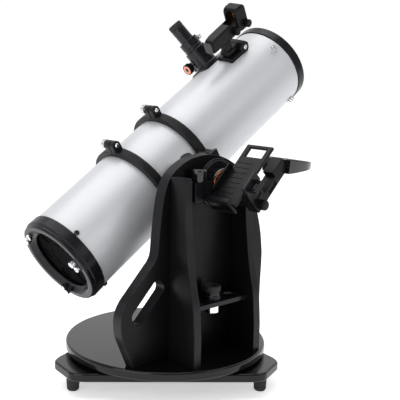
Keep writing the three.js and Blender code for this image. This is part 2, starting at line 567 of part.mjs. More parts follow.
function buildDock() {
  // arm: reaches from the altitude hub past the knob, then runs up behind the platform
  const arm = join(block(-14, 24, -176, HUB_FACE - GAP, -48, -34), block(-14, 76, -186, -160, -58, -40),
    block(-14, 22, -186, -160, -50, 3.7), block(62, 100, -186, -160, -58, -30));
  place('dock_arm', arm, PLASTIC, dockFrame, 0.1, 0.45);

  // platform with a lip below and a fixed jaw on the panel side; a window lets light up to the camera
  const floor = block(-50, 92, -192, -128, 6, 12);
  const lip = join(block(-56, -50, -186, -125, -8, 26), block(-56, -46, -186, -125, 23, 26));
  const rail = block(-30, 34, -129, -125, 6, 25);
  const trackRoom = block(-30, 30, -194, -176, 3, 9.3);
  const window = block(62, 86, -182, -138, 0, 20);
  place('dock_platform', cut(join(floor, lip, rail), window, trackRoom), PLASTIC, dockFrame);

  // the sliding jaw runs in the platform and closes on the device from the outer side
  const jaw = join(block(-22, 22, -199, -177, 4.1, 9), block(-22, 22, -203, -196, 4.1, 26),
    block(-14, 14, -218, -203, 6, 12));
  place('dock_jaw', cut(jaw, block(-8, 8, -213, -206, 0, 20)), PLASTIC, dockFrame);
  const knobSide = [[0, -186.3], [9, -186.3], [10, -189], [10, -198], [8, -200], [0, -200]];
  place('dock_slide_knob', turned('y', knobSide, [0, 0, -49], 24), PLASTIC, dockFrame, 0.1, 0.4);

  // the knob that stands on the hub's bracket
  const [x, y, z] = [-28, HUB_BACK - 15.5, 410 + GAP];
  const lockSide = [[0, z], [13, z], [14.5, z + 2], [14.5, z + 22], [13, z + 24], [0, z + 24]];
  place('dock_lock_knob', turned('z', lockSide, [x, y, 0], 28), PLASTIC, null, 0.1, 0.2);

  // mirror tray: a boat-shaped tray that looks up past the device, with the mirror lying in it
  const outline = new THREE.Shape();
  outline.moveTo(-46, -34);
  outline.splineThru(toPoints([[-20, -36], [10, -34], [32, -24], [42, -8], [43, 0], [42, 8], [32, 24],
    [10, 34], [-20, 36], [-46, 34]]));
  outline.closePath();
  const level = new THREE.Matrix4().makeRotationY(9 * DEG).setPosition(186, -160, 436);
  const pocket = block(-42, 14, -30, 30, 3, 30);
  const hull = moved(plate(outline, 30, 2), new THREE.Matrix4().makeTranslation(0, 0, -24));
  const side = polygon([[-60, -24], [-46, -24], [50, -3], [50, 6], [-60, 6]]);
  const root = block(-62, -40, -26, 14, -24, 4);
  const seat = moved(block(62 - GAP, 100 + GAP, -186 - GAP, -160 + GAP, -58 - GAP, -30 + GAP),
    level.clone().invert().multiply(dockFrame));
  const boat = hull.intersect(upright(side, -50, 50));
  place('mirror_tray', cut(join(boat, root), pocket, seat), PLASTIC, level);
  place('dock_mirror', block(-41, 13, -29, 29, 3.2, 5), GLASS, level, 0.9, 0.05);
}

buildGround();
buildTurntable();
buildPanel();
buildTray();
buildAltitude();
buildClamps();
buildTube();
buildMirrors();
buildFocuser();
buildFinder();
buildDock();

// the origin sits at the bottom centre of the whole object
const bounds = new THREE.Box3().setFromObject(telescope, true);
const middle = bounds.getCenter(new THREE.Vector3());
telescope.position.set(-middle.x, -middle.y, -bounds.min.z);
telescope.updateMatrixWorld(true);

export default telescope;
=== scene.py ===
"""Looks of a table-top Dobsonian telescope. Shapes are in millimetres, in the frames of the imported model."""
import json
import math

import bmesh
import bpy
from mathutils import Matrix, Vector


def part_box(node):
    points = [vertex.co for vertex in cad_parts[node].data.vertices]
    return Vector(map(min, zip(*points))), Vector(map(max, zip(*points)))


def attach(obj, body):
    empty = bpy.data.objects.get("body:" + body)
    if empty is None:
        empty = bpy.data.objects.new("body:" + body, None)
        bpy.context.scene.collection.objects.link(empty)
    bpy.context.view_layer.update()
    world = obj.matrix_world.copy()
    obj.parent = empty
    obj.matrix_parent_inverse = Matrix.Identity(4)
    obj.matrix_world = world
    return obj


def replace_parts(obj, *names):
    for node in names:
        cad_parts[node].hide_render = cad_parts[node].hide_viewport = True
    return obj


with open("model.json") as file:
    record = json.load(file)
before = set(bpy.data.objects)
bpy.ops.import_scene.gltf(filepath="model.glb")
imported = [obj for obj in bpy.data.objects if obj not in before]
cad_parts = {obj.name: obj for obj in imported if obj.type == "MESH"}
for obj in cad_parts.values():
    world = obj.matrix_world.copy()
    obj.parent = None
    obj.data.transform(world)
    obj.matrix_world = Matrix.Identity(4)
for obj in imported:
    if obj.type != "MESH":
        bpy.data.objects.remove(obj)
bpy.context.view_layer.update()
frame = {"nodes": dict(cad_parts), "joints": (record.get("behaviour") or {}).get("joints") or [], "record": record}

MM = 0.001
DEG = math.pi / 180
GAP = 0.3                      # clearance between neighbouring pieces

# stand
BOARD = 18                     # thickness of the boards
FOOT_HEIGHT = 33.5
FOOT_RADIUS = 12.5
PIVOT_HEAD = 9                 # how far the pivot bolt's head hangs below the ground board
GROUND_APOTHEM = 154.5         # to the straight sides of the ground board
GROUND_REACH = 234             # to its clipped corners
GROUND_TURN = 50.3             # heading of the back corner
CORNER_EASE = 28               # length over which the ground board's corners are rounded
GLIDE = 3                      # a glide ring holds the turntable above the ground board
GROUND_TOP = FOOT_HEIGHT + BOARD
TABLE_BOTTOM = GROUND_TOP + GLIDE
TABLE_TOP = TABLE_BOTTOM + BOARD
TABLE_RADIUS = 203
PIVOT_RADIUS = 5
PANEL_FACE = -99.3             # outer face of the side panel
PANEL_THICK = 24.4
RIBS = {"rib_left": (-84, 422), "rib_right": (78, 362)}    # left face and top of each rib
TRAY_TOP = 181
TRAY_FRONT = -150
TRAY_HOLES = (-42, 4, 52)
TRAY_HOLE_Y = -126
TRAY_HOLE_RADIUS = 16.6
AXIS_X = 34                    # altitude axis, on the stand
AXIS_Z = 401

# altitude bearing
SHAFT_RADIUS = 11
HUB_BACK = PANEL_FACE - GAP
HUB_FACE = HUB_BACK - 7
KNOB_FACE = HUB_FACE - 15

# tube
TUBE_RADIUS = 92
TUBE_WALL = 1.8
TUBE_REAR = -261
TUBE_FRONT = 397
CELL_REAR = -291.5
RIM_FRONT = 419.5
CLAMP_AT = (-60, 62)           # the two rings, along the tube
CLAMP_RADIUS = 103
LUG_RADIUS = 123
SCREW_AT = 114                 # clamp screw, from the tube's axis
NUT_END = 16.5
VANE_AT = 376
VANE_LEANS = (-47, 43, 133, 223)
CELL_LEAN = -78                # first pair of screws at the mirror cell
CELL_SCREW_AT = 74
SCREW_PAIR = 7                 # half the distance between the two screws of a pair
DIAGONAL_END = 319
FOCUSER_AT = 281
FOCUSER_TURN = 27.5            # lean of the focuser round the tube
DRAW_RADIUS = 19
PINION_Y = 23
PINION_Z = 113
KNOB_REACH = 32                # half the pinion shaft
EYEPIECE_SEAT = 163.2
FINDER_TURN = -9

# ---- frames: local millimetres to the row frame's metres ----

joints = {joint["name"]: joint for joint in frame["joints"]}


def middle(node):
    low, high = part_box(node)
    return (low + high) / 2


def slope(axis):
    return math.atan2(axis[2], axis[0])


SCALE = Matrix.Scale(MM, 4)
table = middle("turntable")
axle = Vector(joints["altitude_tilt"]["pos_m"])
tube_slope = slope(-Vector(joints["rear_ring_open"]["axis"]))
dock_slope = slope(joints["dock_travel"]["axis"])
STAND = Matrix.Translation((table.x, table.y, 0)) @ SCALE
TUBE = Matrix.Translation((axle.x, middle("tube").y, axle.z)) @ Matrix.Rotation(-tube_slope, 4, "Y") @ SCALE
DOCK = Matrix.Translation((axle.x, table.y, axle.z)) @ Matrix.Rotation(-dock_slope, 4, "Y") @ SCALE
SADDLE_FACE = PANEL_FACE + PANEL_THICK + 24 - (middle("tube").y - table.y) / MM


def leaning(lean):
    """Turn round the tube's axis, in degrees from its top."""
    return Matrix.Rotation(-lean * DEG, 4, "X")


def wall(along, lean):
    """Frame on the tube axis whose Z leaves the tube wall at that lean."""
    return TUBE @ Matrix.Translation((along, 0, 0)) @ leaning(lean)


# ---- shapes: every builder returns a bmesh in local millimetres ----

AIM = {"x": Matrix.Rotation(math.pi / 2, 4, "Y"), "y": Matrix.Rotation(-math.pi / 2, 4, "X"),
       "z": Matrix.Identity(4)}
UPRIGHT = Matrix.Rotation(math.pi / 2, 4, "X")                       # outline in XZ, depth towards -Y
LENGTHWISE = Matrix(((0, 0, 1, 0), (1, 0, 0, 0), (0, 1, 0, 0), (0, 0, 0, 1)))   # section in YZ, depth along X
SIDEWAYS = Matrix(((0, 0, 1, 0), (-1, 0, 0, 0), (0, 1, 0, 0), (0, 0, 0, 1)))    # the same, its X to -Y


def moved(shape, matrix):
    bmesh.ops.transform(shape, matrix=matrix, verts=shape.verts)
    return shape


def shifted(shape, x, y, z):
    return moved(shape, Matrix.Translation((x, y, z)))


def rounded(points, radius, closed=True, steps=3):
    """The same outline with each corner eased by about that radius."""
    points = [Vector(p) for p in points]
    line = []
    for i, corner in enumerate(points):
        if not closed and i in (0, len(points) - 1):
            line.append(corner)
            continue
        before, after = points[i - 1] - corner, points[(i + 1) % len(points)] - corner
        reach = min(radius, before.length * 0.45, after.length * 0.45)
        start, end = corner + before.normalized() * reach, corner + after.normalized() * reach
        for k in range(steps + 1):
            t = k / steps
            line.append((1 - t) ** 2 * start + 2 * t * (1 - t) * corner + t * t * end)
    return line


def turned(axis, profile, at=(0, 0, 0), sides=96, soften=0.5, steps=3):
    """Body of revolution from (radius, height) corners, either from axis to axis or closed on itself."""
    on_axis = profile[0][0] == 0 and profile[-1][0] == 0
    line = rounded(profile, soften, not on_axis, steps) if soften else [Vector(p) for p in profile]
    shape = bmesh.new()
    rings = []
    for radius, height in line:
        count = 1 if radius < 1e-6 else sides
        turns = [2 * math.pi * k / sides for k in range(count)]
        rings.append([shape.verts.new((radius * math.cos(a), radius * math.sin(a), height)) for a in turns])
    pairs = list(zip(rings, rings[1:]))
    if not on_axis:
        pairs.append((rings[-1], rings[0]))
    for low, high in pairs:
        for k in range(sides):
            n = (k + 1) % sides
            corners = [low[k % len(low)], low[n % len(low)], high[n % len(high)], high[k % len(high)]]
            unique = list(dict.fromkeys(corners))
            if len(unique) > 2:
                shape.faces.new(unique)
    return shifted(moved(shape, AIM[axis]), *at)


def rod(axis, start, end, radius, at=(0, 0, 0), sides=48, soften=0.4):
    return turned(axis, [(0, start), (radius, start), (radius, end), (0, end)], at, sides, soften)


def cone(low, low_radius, high, high_radius, sides=48):
    """Solid on Z from one radius to another."""
    return turned("z", [(0, low), (low_radius, low), (high_radius, high), (0, high)], sides=sides)


def slab(outline, low, high, soften=0.8, holes=(), steps=2):
    """Flat plate between two heights, with eased edges and holes."""
    curve = bpy.data.curves.new("outline", "CURVE")
    curve.dimensions = "2D"
    curve.fill_mode = "BOTH"
    curve.extrude = (high - low) / 2 - soften
    curve.bevel_depth = soften
    curve.bevel_resolution = steps
    curve.offset = -soften
    for ring in (outline, *holes):
        spline = curve.splines.new("POLY")
        spline.points.add(len(ring) - 1)
        for point, (x, y) in zip(spline.points, ring):
            point.co = (x, y, 0, 1)
        spline.use_cyclic_u = True
    holder = bpy.data.objects.new("outline", curve)
    shape = bmesh.new()
    shape.from_mesh(holder.to_mesh())
    holder.to_mesh_clear()
    bpy.data.objects.remove(holder)
    bpy.data.curves.remove(curve)
    bmesh.ops.remove_doubles(shape, verts=shape.verts, dist=1e-3)
    return shifted(shape, 0, 0, (low + high) / 2)


def upright(outline, y0, y1, soften=0.8, holes=()):
    return moved(slab(outline, -y1, -y0, soften, holes), UPRIGHT)


def lengthwise(section, x0, x1, soften=0.8):
    return moved(slab(section, x0, x1, soften), LENGTHWISE)


def brick(x0, x1, y0, y1, z0, z1, soften=0.8):
    shape = bmesh.new()
    bmesh.ops.create_cube(shape, size=1)
    size = Vector((x1 - x0, y1 - y0, z1 - z0))
    centre = Vector((x0 + x1, y0 + y1, z0 + z1)) / 2
    shape = moved(shape, Matrix.Translation(centre) @ Matrix.Diagonal((*size, 1)))
    if soften:
        reach = min(soften, min(size) * 0.4)
        bmesh.ops.bevel(shape, geom=shape.edges, offset=reach, segments=2, profile=0.5, affect="EDGES")
    return shape


def together(*shapes):
    """One shape of separate bodies."""
    whole = bmesh.new()
    for shape in shapes:
        mesh = bpy.data.meshes.new("part")
        shape.to_mesh(mesh)
        whole.from_mesh(mesh)
        shape.free()
        bpy.data.meshes.remove(mesh)
    return whole


def copied(shape, matrices):
    """That shape repeated at each matrix."""
    return together(*[moved(shape.copy(), matrix) for matrix in matrices])


def worked(operation, base, tool):
    pair = []
    for shape in (base, tool):
        bmesh.ops.recalc_face_normals(shape, faces=shape.faces)
        mesh = bpy.data.meshes.new("work")
        shape.to_mesh(mesh)
        shape.free()
        pair.append(bpy.data.objects.new("work", mesh))
        bpy.context.scene.collection.objects.link(pair[-1])
    modifier = pair[0].modifiers.new("work", "BOOLEAN")
    modifier.object = pair[1]
    modifier.operation = operation
    modifier.solver = "MANIFOLD"
    result = bmesh.new()
    result.from_object(pair[0], bpy.context.evaluated_depsgraph_get())
    for thing in pair:
        mesh = thing.data
        bpy.data.objects.remove(thing)
        bpy.data.meshes.remove(mesh)
    bmesh.ops.remove_doubles(result, verts=result.verts, dist=2e-3)
    bmesh.ops.dissolve_degenerate(result, dist=1e-3, edges=result.edges)
    return result


def fused(base, *tools):
    for tool in tools:
        base = worked("UNION", base, tool)
    return base


def carved(base, *tools):
    for tool in tools:
        base = worked("DIFFERENCE", base, tool)
    return base


def shared(base, tool):
    return worked("INTERSECT", base, tool)


def painted(shape, index, rule):
    """Gives the faces whose centre and normal meet the rule another of the piece's materials."""
    shape.normal_update()
    for face in shape.faces:
        if rule(face.calc_center_median(), face.normal):
            face.material_index = index
    return shape


def slot_outline(cx, cy, length, width, radius, turn=0, steps=8):
    hx, hy = length / 2, width / 2
    points = []
    corners = ((hx - radius, radius - hy, -90), (hx - radius, hy - radius, 0), (radius - hx, hy - radius, 90),
               (radius - hx, radius - hy, 180))
    for x, y, start in corners:
        for step in range(steps + 1):
            angle = (start + 90 * step / steps) * DEG
            points.append(Vector((x + radius * math.cos(angle), y + radius * math.sin(angle))))
    spin = Matrix.Rotation(turn * DEG, 2)
    return [spin @ p + Vector((cx, cy)) for p in points]


def circle(cx, cy, radius, sides=64):
    turns = [2 * math.pi * k / sides for k in range(sides)]
    return [Vector((cx + radius * math.cos(a), cy + radius * math.sin(a))) for a in turns]


def smooth_line(points, steps=8):
    """Catmull-Rom line through the points."""
    points = [Vector(p) for p in points]
    line = []
    for i in range(len(points) - 1):
        a, b = points[max(i - 1, 0)], points[i]
        c, d = points[i + 1], points[min(i + 2, len(points) - 1)]
        for k in range(steps):
            t = k / steps
            line.append(0.5 * (2 * b + (c - a) * t + (2 * a - 5 * b + 4 * c - d) * t ** 2
                               + (3 * b - a - 3 * c + d) * t ** 3))
    line.append(points[-1])
    return line


def knurled(radius, low, high, teeth, depth=0.6, soften=0.5):
    """Grip with straight ridges, standing on Z."""
    outline = []
    for k in range(teeth * 4):
        reach = radius if k % 4 in (1, 2) else radius - depth
        angle = 2 * math.pi * k / (teeth * 4)
        outline.append(Vector((reach * math.cos(angle), reach * math.sin(angle))))
    return slab(outline, low, high, soften)


def cross_screw(radius, height):
    """Pan head with a cross recess, standing on z = 0."""
    dome = [(0, 0), (radius, 0), (radius, height * 0.45), (radius * 0.62, height * 0.92), (0, height)]
    dome = turned("z", dome, sides=32, soften=radius * 0.3)
    reach, width = radius * 0.55, radius * 0.16
    return carved(dome, brick(-reach, reach, -width, width, height * 0.45, height * 2, 0),
                  brick(-width, width, -reach, reach, height * 0.45, height * 2, 0))


def socket_screw(radius, height):
    """Cap head with a hexagon socket, standing on z = 0."""
    head = rod("z", 0, height, radius, sides=40, soften=radius * 0.12)
    return carved(head, slab(circle(0, 0, radius * 0.55, 6), height * 0.45, height * 2, 0.01))


# ---- materials ----

class Recipe:
    """A material's node tree, with the few nodes that every finish here is made from."""

    def __init__(self, name):
        self.material = bpy.data.materials.new(name)
        self.material.use_nodes = True
        self.tree = self.material.node_tree
        self.shader = self.tree.nodes["Principled BSDF"]
        self.where = self.add("ShaderNodeTexCoord").outputs["Object"]

    def add(self, kind, **values):
        node = self.tree.nodes.new(kind)
        for key, value in values.items():
            setattr(node, key, value)
        return node

    def link(self, source, target):
        self.tree.links.new(source, target)

    def noise(self, per_metre, detail=4.0, roughness=0.55, stretch=None):
        node = self.add("ShaderNodeTexNoise")
        node.inputs["Scale"].default_value = per_metre
        node.inputs["Detail"].default_value = detail
        node.inputs["Roughness"].default_value = roughness
        source = self.where
        if stretch:
            mapping = self.add("ShaderNodeMapping")
            mapping.inputs["Scale"].default_value = stretch
            self.link(source, mapping.inputs["Vector"])
            source = mapping.outputs["Vector"]
        self.link(source, node.inputs["Vector"])
        return node.outputs["Fac"]

    def spread(self, value, low, high, to_low=0.0, to_high=1.0):
        node = self.add("ShaderNodeMapRange")
        for key, number in (("From Min", low), ("From Max", high), ("To Min", to_low), ("To Max", to_high)):
            node.inputs[key].default_value = number
        self.link(value, node.inputs["Value"])
        return node.outputs["Result"]

    def blend(self, factor, first, second):
        node = self.add("ShaderNodeMix", data_type="RGBA")
        self.link(factor, node.inputs["Factor"])
        for key, colour in (("A", first), ("B", second)):
            socket = next(s for s in node.inputs if s.name == key and s.type == "RGBA")
            if isinstance(colour, tuple):
                socket.default_value = (*colour, 1)
            else:
                self.link(colour, socket)
        return next(s for s in node.outputs if s.type == "RGBA")

    def bump(self, height, depth_mm, strength=1.0, under=None):
        node = self.add("ShaderNodeBump")
        node.inputs["Strength"].default_value = strength
        node.inputs["Distance"].default_value = depth_mm * MM
        self.link(height, node.inputs["Height"])
        if under:
            self.link(under, node.inputs["Normal"])
        return node.outputs["Normal"]

    def local(self, matrix):
        """Coordinates in millimetres in a local frame, for turned lines."""
        inverse = matrix.inverted()
        mapping = self.add("ShaderNodeMapping")
        mapping.inputs["Location"].default_value = inverse.translation
        mapping.inputs["Rotation"].default_value = inverse.to_euler()
        mapping.inputs["Scale"].default_value = inverse.to_scale()
        self.link(self.where, mapping.inputs["Vector"])
        return mapping.outputs["Vector"]

    def base(self, source):
        self.link(source, self.shader.inputs["Base Color"])

    def rough(self, source):
        self.link(source, self.shader.inputs["Roughness"])

    def normal(self, source):
        self.link(source, self.shader.inputs["Normal"])

    def set(self, **values):
        names = {"metallic": "Metallic", "coat": "Coat Weight", "coat_rough": "Coat Roughness", "ior": "IOR",
                 "specular": "Specular IOR Level", "transmission": "Transmission Weight"}
        for key, value in values.items():
            self.shader.inputs[names[key]].default_value = value
        return self


def shade(colour, factor):
    return tuple(min(1.0, channel * factor) for channel in colour)


def surface(name, colour, roughness, metallic=0.0, mottle=0.25, mottle_scale=60, uneven=0.08, uneven_scale=35,
            grain=900, grain_depth=0.03, grain_strength=0.5, scuffs=0.0, **rest):
    """A painted, moulded or plated surface: cloudy colour, uneven gloss, fine grain and a few pale scuffs."""
    recipe = Recipe(name).set(metallic=metallic, **rest)
    cloud = recipe.spread(recipe.noise(mottle_scale, 5), 0.3, 0.7)
    tint = recipe.blend(cloud, shade(colour, 1 - mottle), shade(colour, 1 + mottle))
    gloss = recipe.spread(recipe.noise(uneven_scale, 6, 0.65), 0.3, 0.7, roughness - uneven, roughness + uneven)
    if scuffs:
        streaks = recipe.spread(recipe.noise(160, 3, 0.5, (1, 6, 0.6)), 0.66, 0.74, 0, scuffs)
        tint = recipe.blend(streaks, tint, shade(colour, 3.0))
    recipe.base(tint)
    recipe.rough(gloss)
    recipe.normal(recipe.bump(recipe.noise(grain, 3, 0.6), grain_depth, grain_strength))
    return recipe.material


def laminate(name, colour, roughness, specular):
    """Melamine-faced board: a pebbled press-plate texture, faint rubbed patches and a little settled dust."""
    recipe = Recipe(name).set(metallic=0.0, specular=specular)
    cloud = recipe.spread(recipe.noise(9, 5), 0.3, 0.7)
    tint = recipe.blend(cloud, shade(colour, 0.8), shade(colour, 1.2))
    specks = recipe.spread(recipe.noise(2200, 2, 0.5), 0.62, 0.72, 0, 0.3)
    recipe.base(recipe.blend(specks, tint, shade(colour, 2.4)))
    recipe.rough(recipe.spread(recipe.noise(22, 6, 0.7), 0.3, 0.7, roughness - 0.07, roughness + 0.07))
    pebble = recipe.add("ShaderNodeTexVoronoi", feature="SMOOTH_F1")
    pebble.inputs["Scale"].default_value = 1100
    recipe.link(recipe.where, pebble.inputs["Vector"])
    wavy = recipe.bump(recipe.noise(30, 2), 0.25, 0.25)
    recipe.normal(recipe.bump(pebble.outputs["Distance"], 0.06, 0.55, wavy))
    return recipe.material


def metal_paint(name, colour, roughness):
    """Silver lacquer with fine aluminium flakes under a clear coat."""
    recipe = Recipe(name).set(metallic=0.3, coat=0.25, coat_rough=0.25)
    flake = recipe.add("ShaderNodeTexVoronoi", feature="F1")
    flake.inputs["Scale"].default_value = 2600
    recipe.link(recipe.where, flake.inputs["Vector"])
    spark = recipe.spread(flake.outputs["Color"], 0.0, 1.0, 0.0, 1.0)
    tint = recipe.blend(spark, shade(colour, 0.86), shade(colour, 1.12))
    cloud = recipe.spread(recipe.noise(7, 4), 0.3, 0.7)
    recipe.base(recipe.blend(cloud, tint, colour))
    recipe.rough(recipe.spread(recipe.noise(14, 6, 0.7), 0.3, 0.7, roughness - 0.04, roughness + 0.05))
    ripple = recipe.bump(recipe.noise(18, 2), 0.3, 0.10)
    recipe.normal(recipe.bump(recipe.noise(1500, 2), 0.02, 0.25, ripple))
    return recipe.material


LATHE_PITCH = 0.35


def lathe_turned(name, colour, roughness, matrix, axis):
    """Metal with the fine rings left by a lathe round a local axis."""
    recipe = Recipe(name).set(metallic=1.0)
    rings = recipe.add("ShaderNodeTexWave", wave_type="RINGS", rings_direction=axis)
    rings.inputs["Scale"].default_value = 0.31 / LATHE_PITCH
    rings.inputs["Distortion"].default_value = 0.6
    rings.inputs["Detail"].default_value = 1
    recipe.link(recipe.local(matrix), rings.inputs["Vector"])
    cloud = recipe.spread(recipe.noise(120, 4), 0.3, 0.7)
    recipe.base(recipe.blend(cloud, shade(colour, 0.85), shade(colour, 1.1)))
    recipe.rough(recipe.spread(rings.outputs["Fac"], 0, 1, roughness - 0.05, roughness + 0.08))
    recipe.normal(recipe.bump(rings.outputs["Fac"], 0.02, 0.35))
    return recipe.material


def mirror(name):
    """Front-coated mirror: nearly clean, with a trace of dust and sleeks."""
    recipe = Recipe(name).set(metallic=1.0)
    dust = recipe.spread(recipe.noise(700, 5, 0.7), 0.62, 0.75)
    recipe.base(recipe.blend(dust, (0.90, 0.92, 0.94), (0.80, 0.81, 0.83)))
    recipe.rough(recipe.spread(dust, 0, 1, 0.015, 0.12))
    recipe.normal(recipe.bump(recipe.noise(25, 1), 0.01, 0.05))
    return recipe.material


def coated_glass(name, colour, transmission):
    roughness = 0.03
    recipe = Recipe(name).set(transmission=transmission, ior=1.52, coat=0.6, coat_rough=roughness)
    film = recipe.spread(recipe.noise(45, 2), 0.3, 0.7)
    recipe.base(recipe.blend(film, colour, shade(colour, 0.7)))
    recipe.rough(recipe.spread(recipe.noise(300, 4), 0.3, 0.7, roughness, roughness + 0.04))
    recipe.normal(recipe.bump(recipe.noise(40, 1), 0.01, 0.05))
    return recipe.material


BOARD_FACE = laminate("black laminate", (0.003, 0.003, 0.0035), 0.34, 0.16)
BOARD_TOP = laminate("polished black laminate", (0.003, 0.003, 0.0035), 0.17, 0.4)
BULLNOSE = surface("rounded board edge", (0.004, 0.004, 0.005), 0.15, specular=0.3, mottle=0.12, grain=600,
                   grain_depth=0.015)
BOARD_EDGE = surface("edge banding", (0.008, 0.008, 0.010), 0.36, specular=0.2, mottle=0.12, grain=600,
                     grain_depth=0.02)
PLASTIC = surface("moulded black plastic", (0.006, 0.006, 0.007), 0.30, mottle=0.2, grain=1300, scuffs=0.1,
                  specular=0.16)
SATIN = surface("satin black plastic", (0.007, 0.007, 0.009), 0.24, mottle=0.2, grain=1500, grain_depth=0.02,
                specular=0.22)
GLOSSY = surface("polished black plastic", (0.005, 0.005, 0.006), 0.10, mottle=0.2, grain=400, grain_depth=0.01,
                 grain_strength=0.2, uneven=0.04, coat=0.5, coat_rough=0.05)
CAST = surface("powder coat", (0.007, 0.007, 0.008), 0.38, metallic=0.1, specular=0.25, mottle=0.2, grain=1800,
               grain_depth=0.05, scuffs=0.2)
CAP_PLASTIC = surface("worn grey plastic", (0.022, 0.022, 0.025), 0.35, mottle=0.3, grain=1200, scuffs=0.3)
RUBBER = surface("rubber", (0.013, 0.013, 0.013), 0.75, mottle=0.3, grain=1200, grain_depth=0.05, uneven=0.1)
FLOCK = surface("matt black lining", (0.004, 0.004, 0.004), 0.92, mottle=0.4, grain=2500, grain_depth=0.1,
                uneven=0.05, specular=0.05)
NYLON = surface("nylon", (0.70, 0.68, 0.62), 0.45, mottle=0.05, grain=500)
CHROME = surface("plated steel", (0.72, 0.73, 0.75), 0.13, metallic=1.0, mottle=0.06, grain=500,
                 grain_depth=0.008, grain_strength=0.3, uneven=0.06, uneven_scale=200)
DARK_STEEL = surface("black oxide steel", (0.05, 0.05, 0.055), 0.32, metallic=0.9, mottle=0.3, grain=800)
ZINC = surface("dull zinc", (0.45, 0.46, 0.48), 0.35, metallic=1.0, mottle=0.15, grain=700)
SILVER = metal_paint("silver lacquer", (0.59, 0.60, 0.62), 0.42)
STEEL = lathe_turned("turned steel", (0.42, 0.43, 0.45), 0.32, DOCK, "Y")
ANODISED = surface("black anodised aluminium", (0.011, 0.011, 0.013), 0.24, metallic=0.35, specular=0.4, mottle=0.2,
                   grain=1500, grain_depth=0.015)
MIRROR = mirror("mirror coating")
GLASS_EDGE = surface("ground glass", (0.50, 0.56, 0.55), 0.6, mottle=0.1, grain=1500, grain_depth=0.04)
AMBER = coated_glass("amber glass", (0.85, 0.42, 0.10), 0.55)
LENS = coated_glass("coated eyepiece glass", (0.10, 0.06, 0.16), 0.15)

# ---- pieces ----

SHARP_ABOVE = 32               # degrees between faces that keep a hard edge
record = frame["record"]
BODY_OF = {node: body for body, nodes in record["behaviour"]["bodies"].items() for node in nodes}


def piece(name, shape, matrix, materials, body):
    moved(shape, matrix)
    bmesh.ops.recalc_face_normals(shape, faces=shape.faces)
    mesh = bpy.data.meshes.new(name)
    shape.to_mesh(mesh)
    shape.free()
    for material in materials:
        mesh.materials.append(material)
    mesh.polygons.foreach_set("use_smooth", [True] * len(mesh.polygons))
    mesh.set_sharp_from_angle(angle=SHARP_ABOVE * DEG)
    thing = bpy.data.objects.new(name, mesh)
    bpy.context.scene.collection.objects.link(thing)
    even = thing.modifiers.new("even shading", "WEIGHTED_NORMAL")
    even.keep_sharp = True
    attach(thing, body)
    return thing


def stand_in(node, shape, matrix, *materials):
    """The finished form of a CAD node."""
    form = piece(f"{node}_form", shape, matrix, materials, BODY_OF[node])
    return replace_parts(form, node)


def trim(name, beside, shape, matrix, *materials, slot=None):
    """A small extra piece that rides with a node's body."""
    return piece(name, shape, matrix, materials, BODY_OF[beside])


def repaint(node, material):
    """A CAD node that keeps its shape."""
    thing = frame["nodes"][node]
    thing.data.materials.clear()
    thing.data.materials.append(material)
    thing.data.polygons.foreach_set("material_index", [0] * len(thing.data.polygons))


# ---- ground base ----

def ground_corner(k):
    return (GROUND_TURN + 120 * k) * DEG


def ground_outline():
    clip = (2 * GROUND_APOTHEM - GROUND_REACH) / math.sqrt(3)
    points = []
    for k in range(3):
        out = Vector((math.cos(ground_corner(k)), math.sin(ground_corner(k))))
        side = Vector((-out.y, out.x))
        for sign in (-1, 1):
            corner = out * GROUND_REACH + side * sign * clip
            along_side = out * -math.cos(30 * DEG) + side * sign * 0.5
            ends = [corner - side * sign * CORNER_EASE * 0.6, corner + along_side * CORNER_EASE]
            first, last = ends[::-1] if sign < 0 else ends
            for step in range(13):
                t = step / 12
                points.append((1 - t) ** 2 * first + 2 * t * (1 - t) * corner + t * t * last)
    return points


def ground_base():
    bore = circle(0, 0, PIVOT_RADIUS + GAP, 32)
    board = slab(ground_outline(), FOOT_HEIGHT + GAP, GROUND_TOP - GAP, 4.0, [bore], steps=5)
    painted(board, 1, lambda at, normal: abs(normal.z) < 0.9)
    stand_in("ground_board", board, STAND, BOARD_TOP, BULLNOSE)
    r, top = FOOT_RADIUS, FOOT_HEIGHT
    profile = [(0, 2.5), (4.5, 2.5), (5, 0), (r - 3.2, 0), (r - 0.8, 3), (r - 0.2, 8), (r - 1, 9),
               (r - 1, 10.2), (r, 11.2), (r + 0.5, top - 4), (r + 0.8, top), (0, top)]
    screw_at = Matrix.Translation((0, 0, 2.4)) @ Matrix.Rotation(math.pi, 4, "X")
    for k in range(3):
        foot = middle(f"foot_{k + 1}")
        at = Matrix.Translation((foot.x, foot.y, 0)) @ SCALE
        stand_in(f"foot_{k + 1}", turned("z", profile, sides=64, soften=0.8), at, RUBBER)
        trim(f"foot_screw_{k + 1}", f"foot_{k + 1}", moved(cross_screw(3.6, 2), screw_at), at, ZINC)
    glide = [(104, GROUND_TOP), (130, GROUND_TOP), (130, TABLE_BOTTOM - GAP), (104, TABLE_BOTTOM - GAP)]
    stand_in("glide_ring", turned("z", glide, sides=128, soften=1.2), STAND, NYLON)
    head = slab(circle(0, 0, 10, 6), FOOT_HEIGHT - PIVOT_HEAD, FOOT_HEIGHT - 2, 0.8)
    washer = rod("z", FOOT_HEIGHT - 2, FOOT_HEIGHT, 10, sides=64)
    shank = rod("z", FOOT_HEIGHT - 5, TABLE_TOP + 8, PIVOT_RADIUS, soften=0.8)
    stand_in("pivot_bolt", fused(head, washer, shank), STAND, ZINC)
    nut = fused(rod("z", TABLE_TOP + GAP, TABLE_TOP + 3, 14, sides=64),
                slab(circle(0, 0, 9, 6), TABLE_TOP + 2, TABLE_TOP + 11, 0.8))
    nut = carved(nut, rod("z", TABLE_TOP - 5, TABLE_TOP + 8 + GAP, PIVOT_RADIUS + GAP, soften=0))
    stand_in("pivot_nut", nut, STAND, ZINC)


# ---- turntable, panel, ribs, tray ----

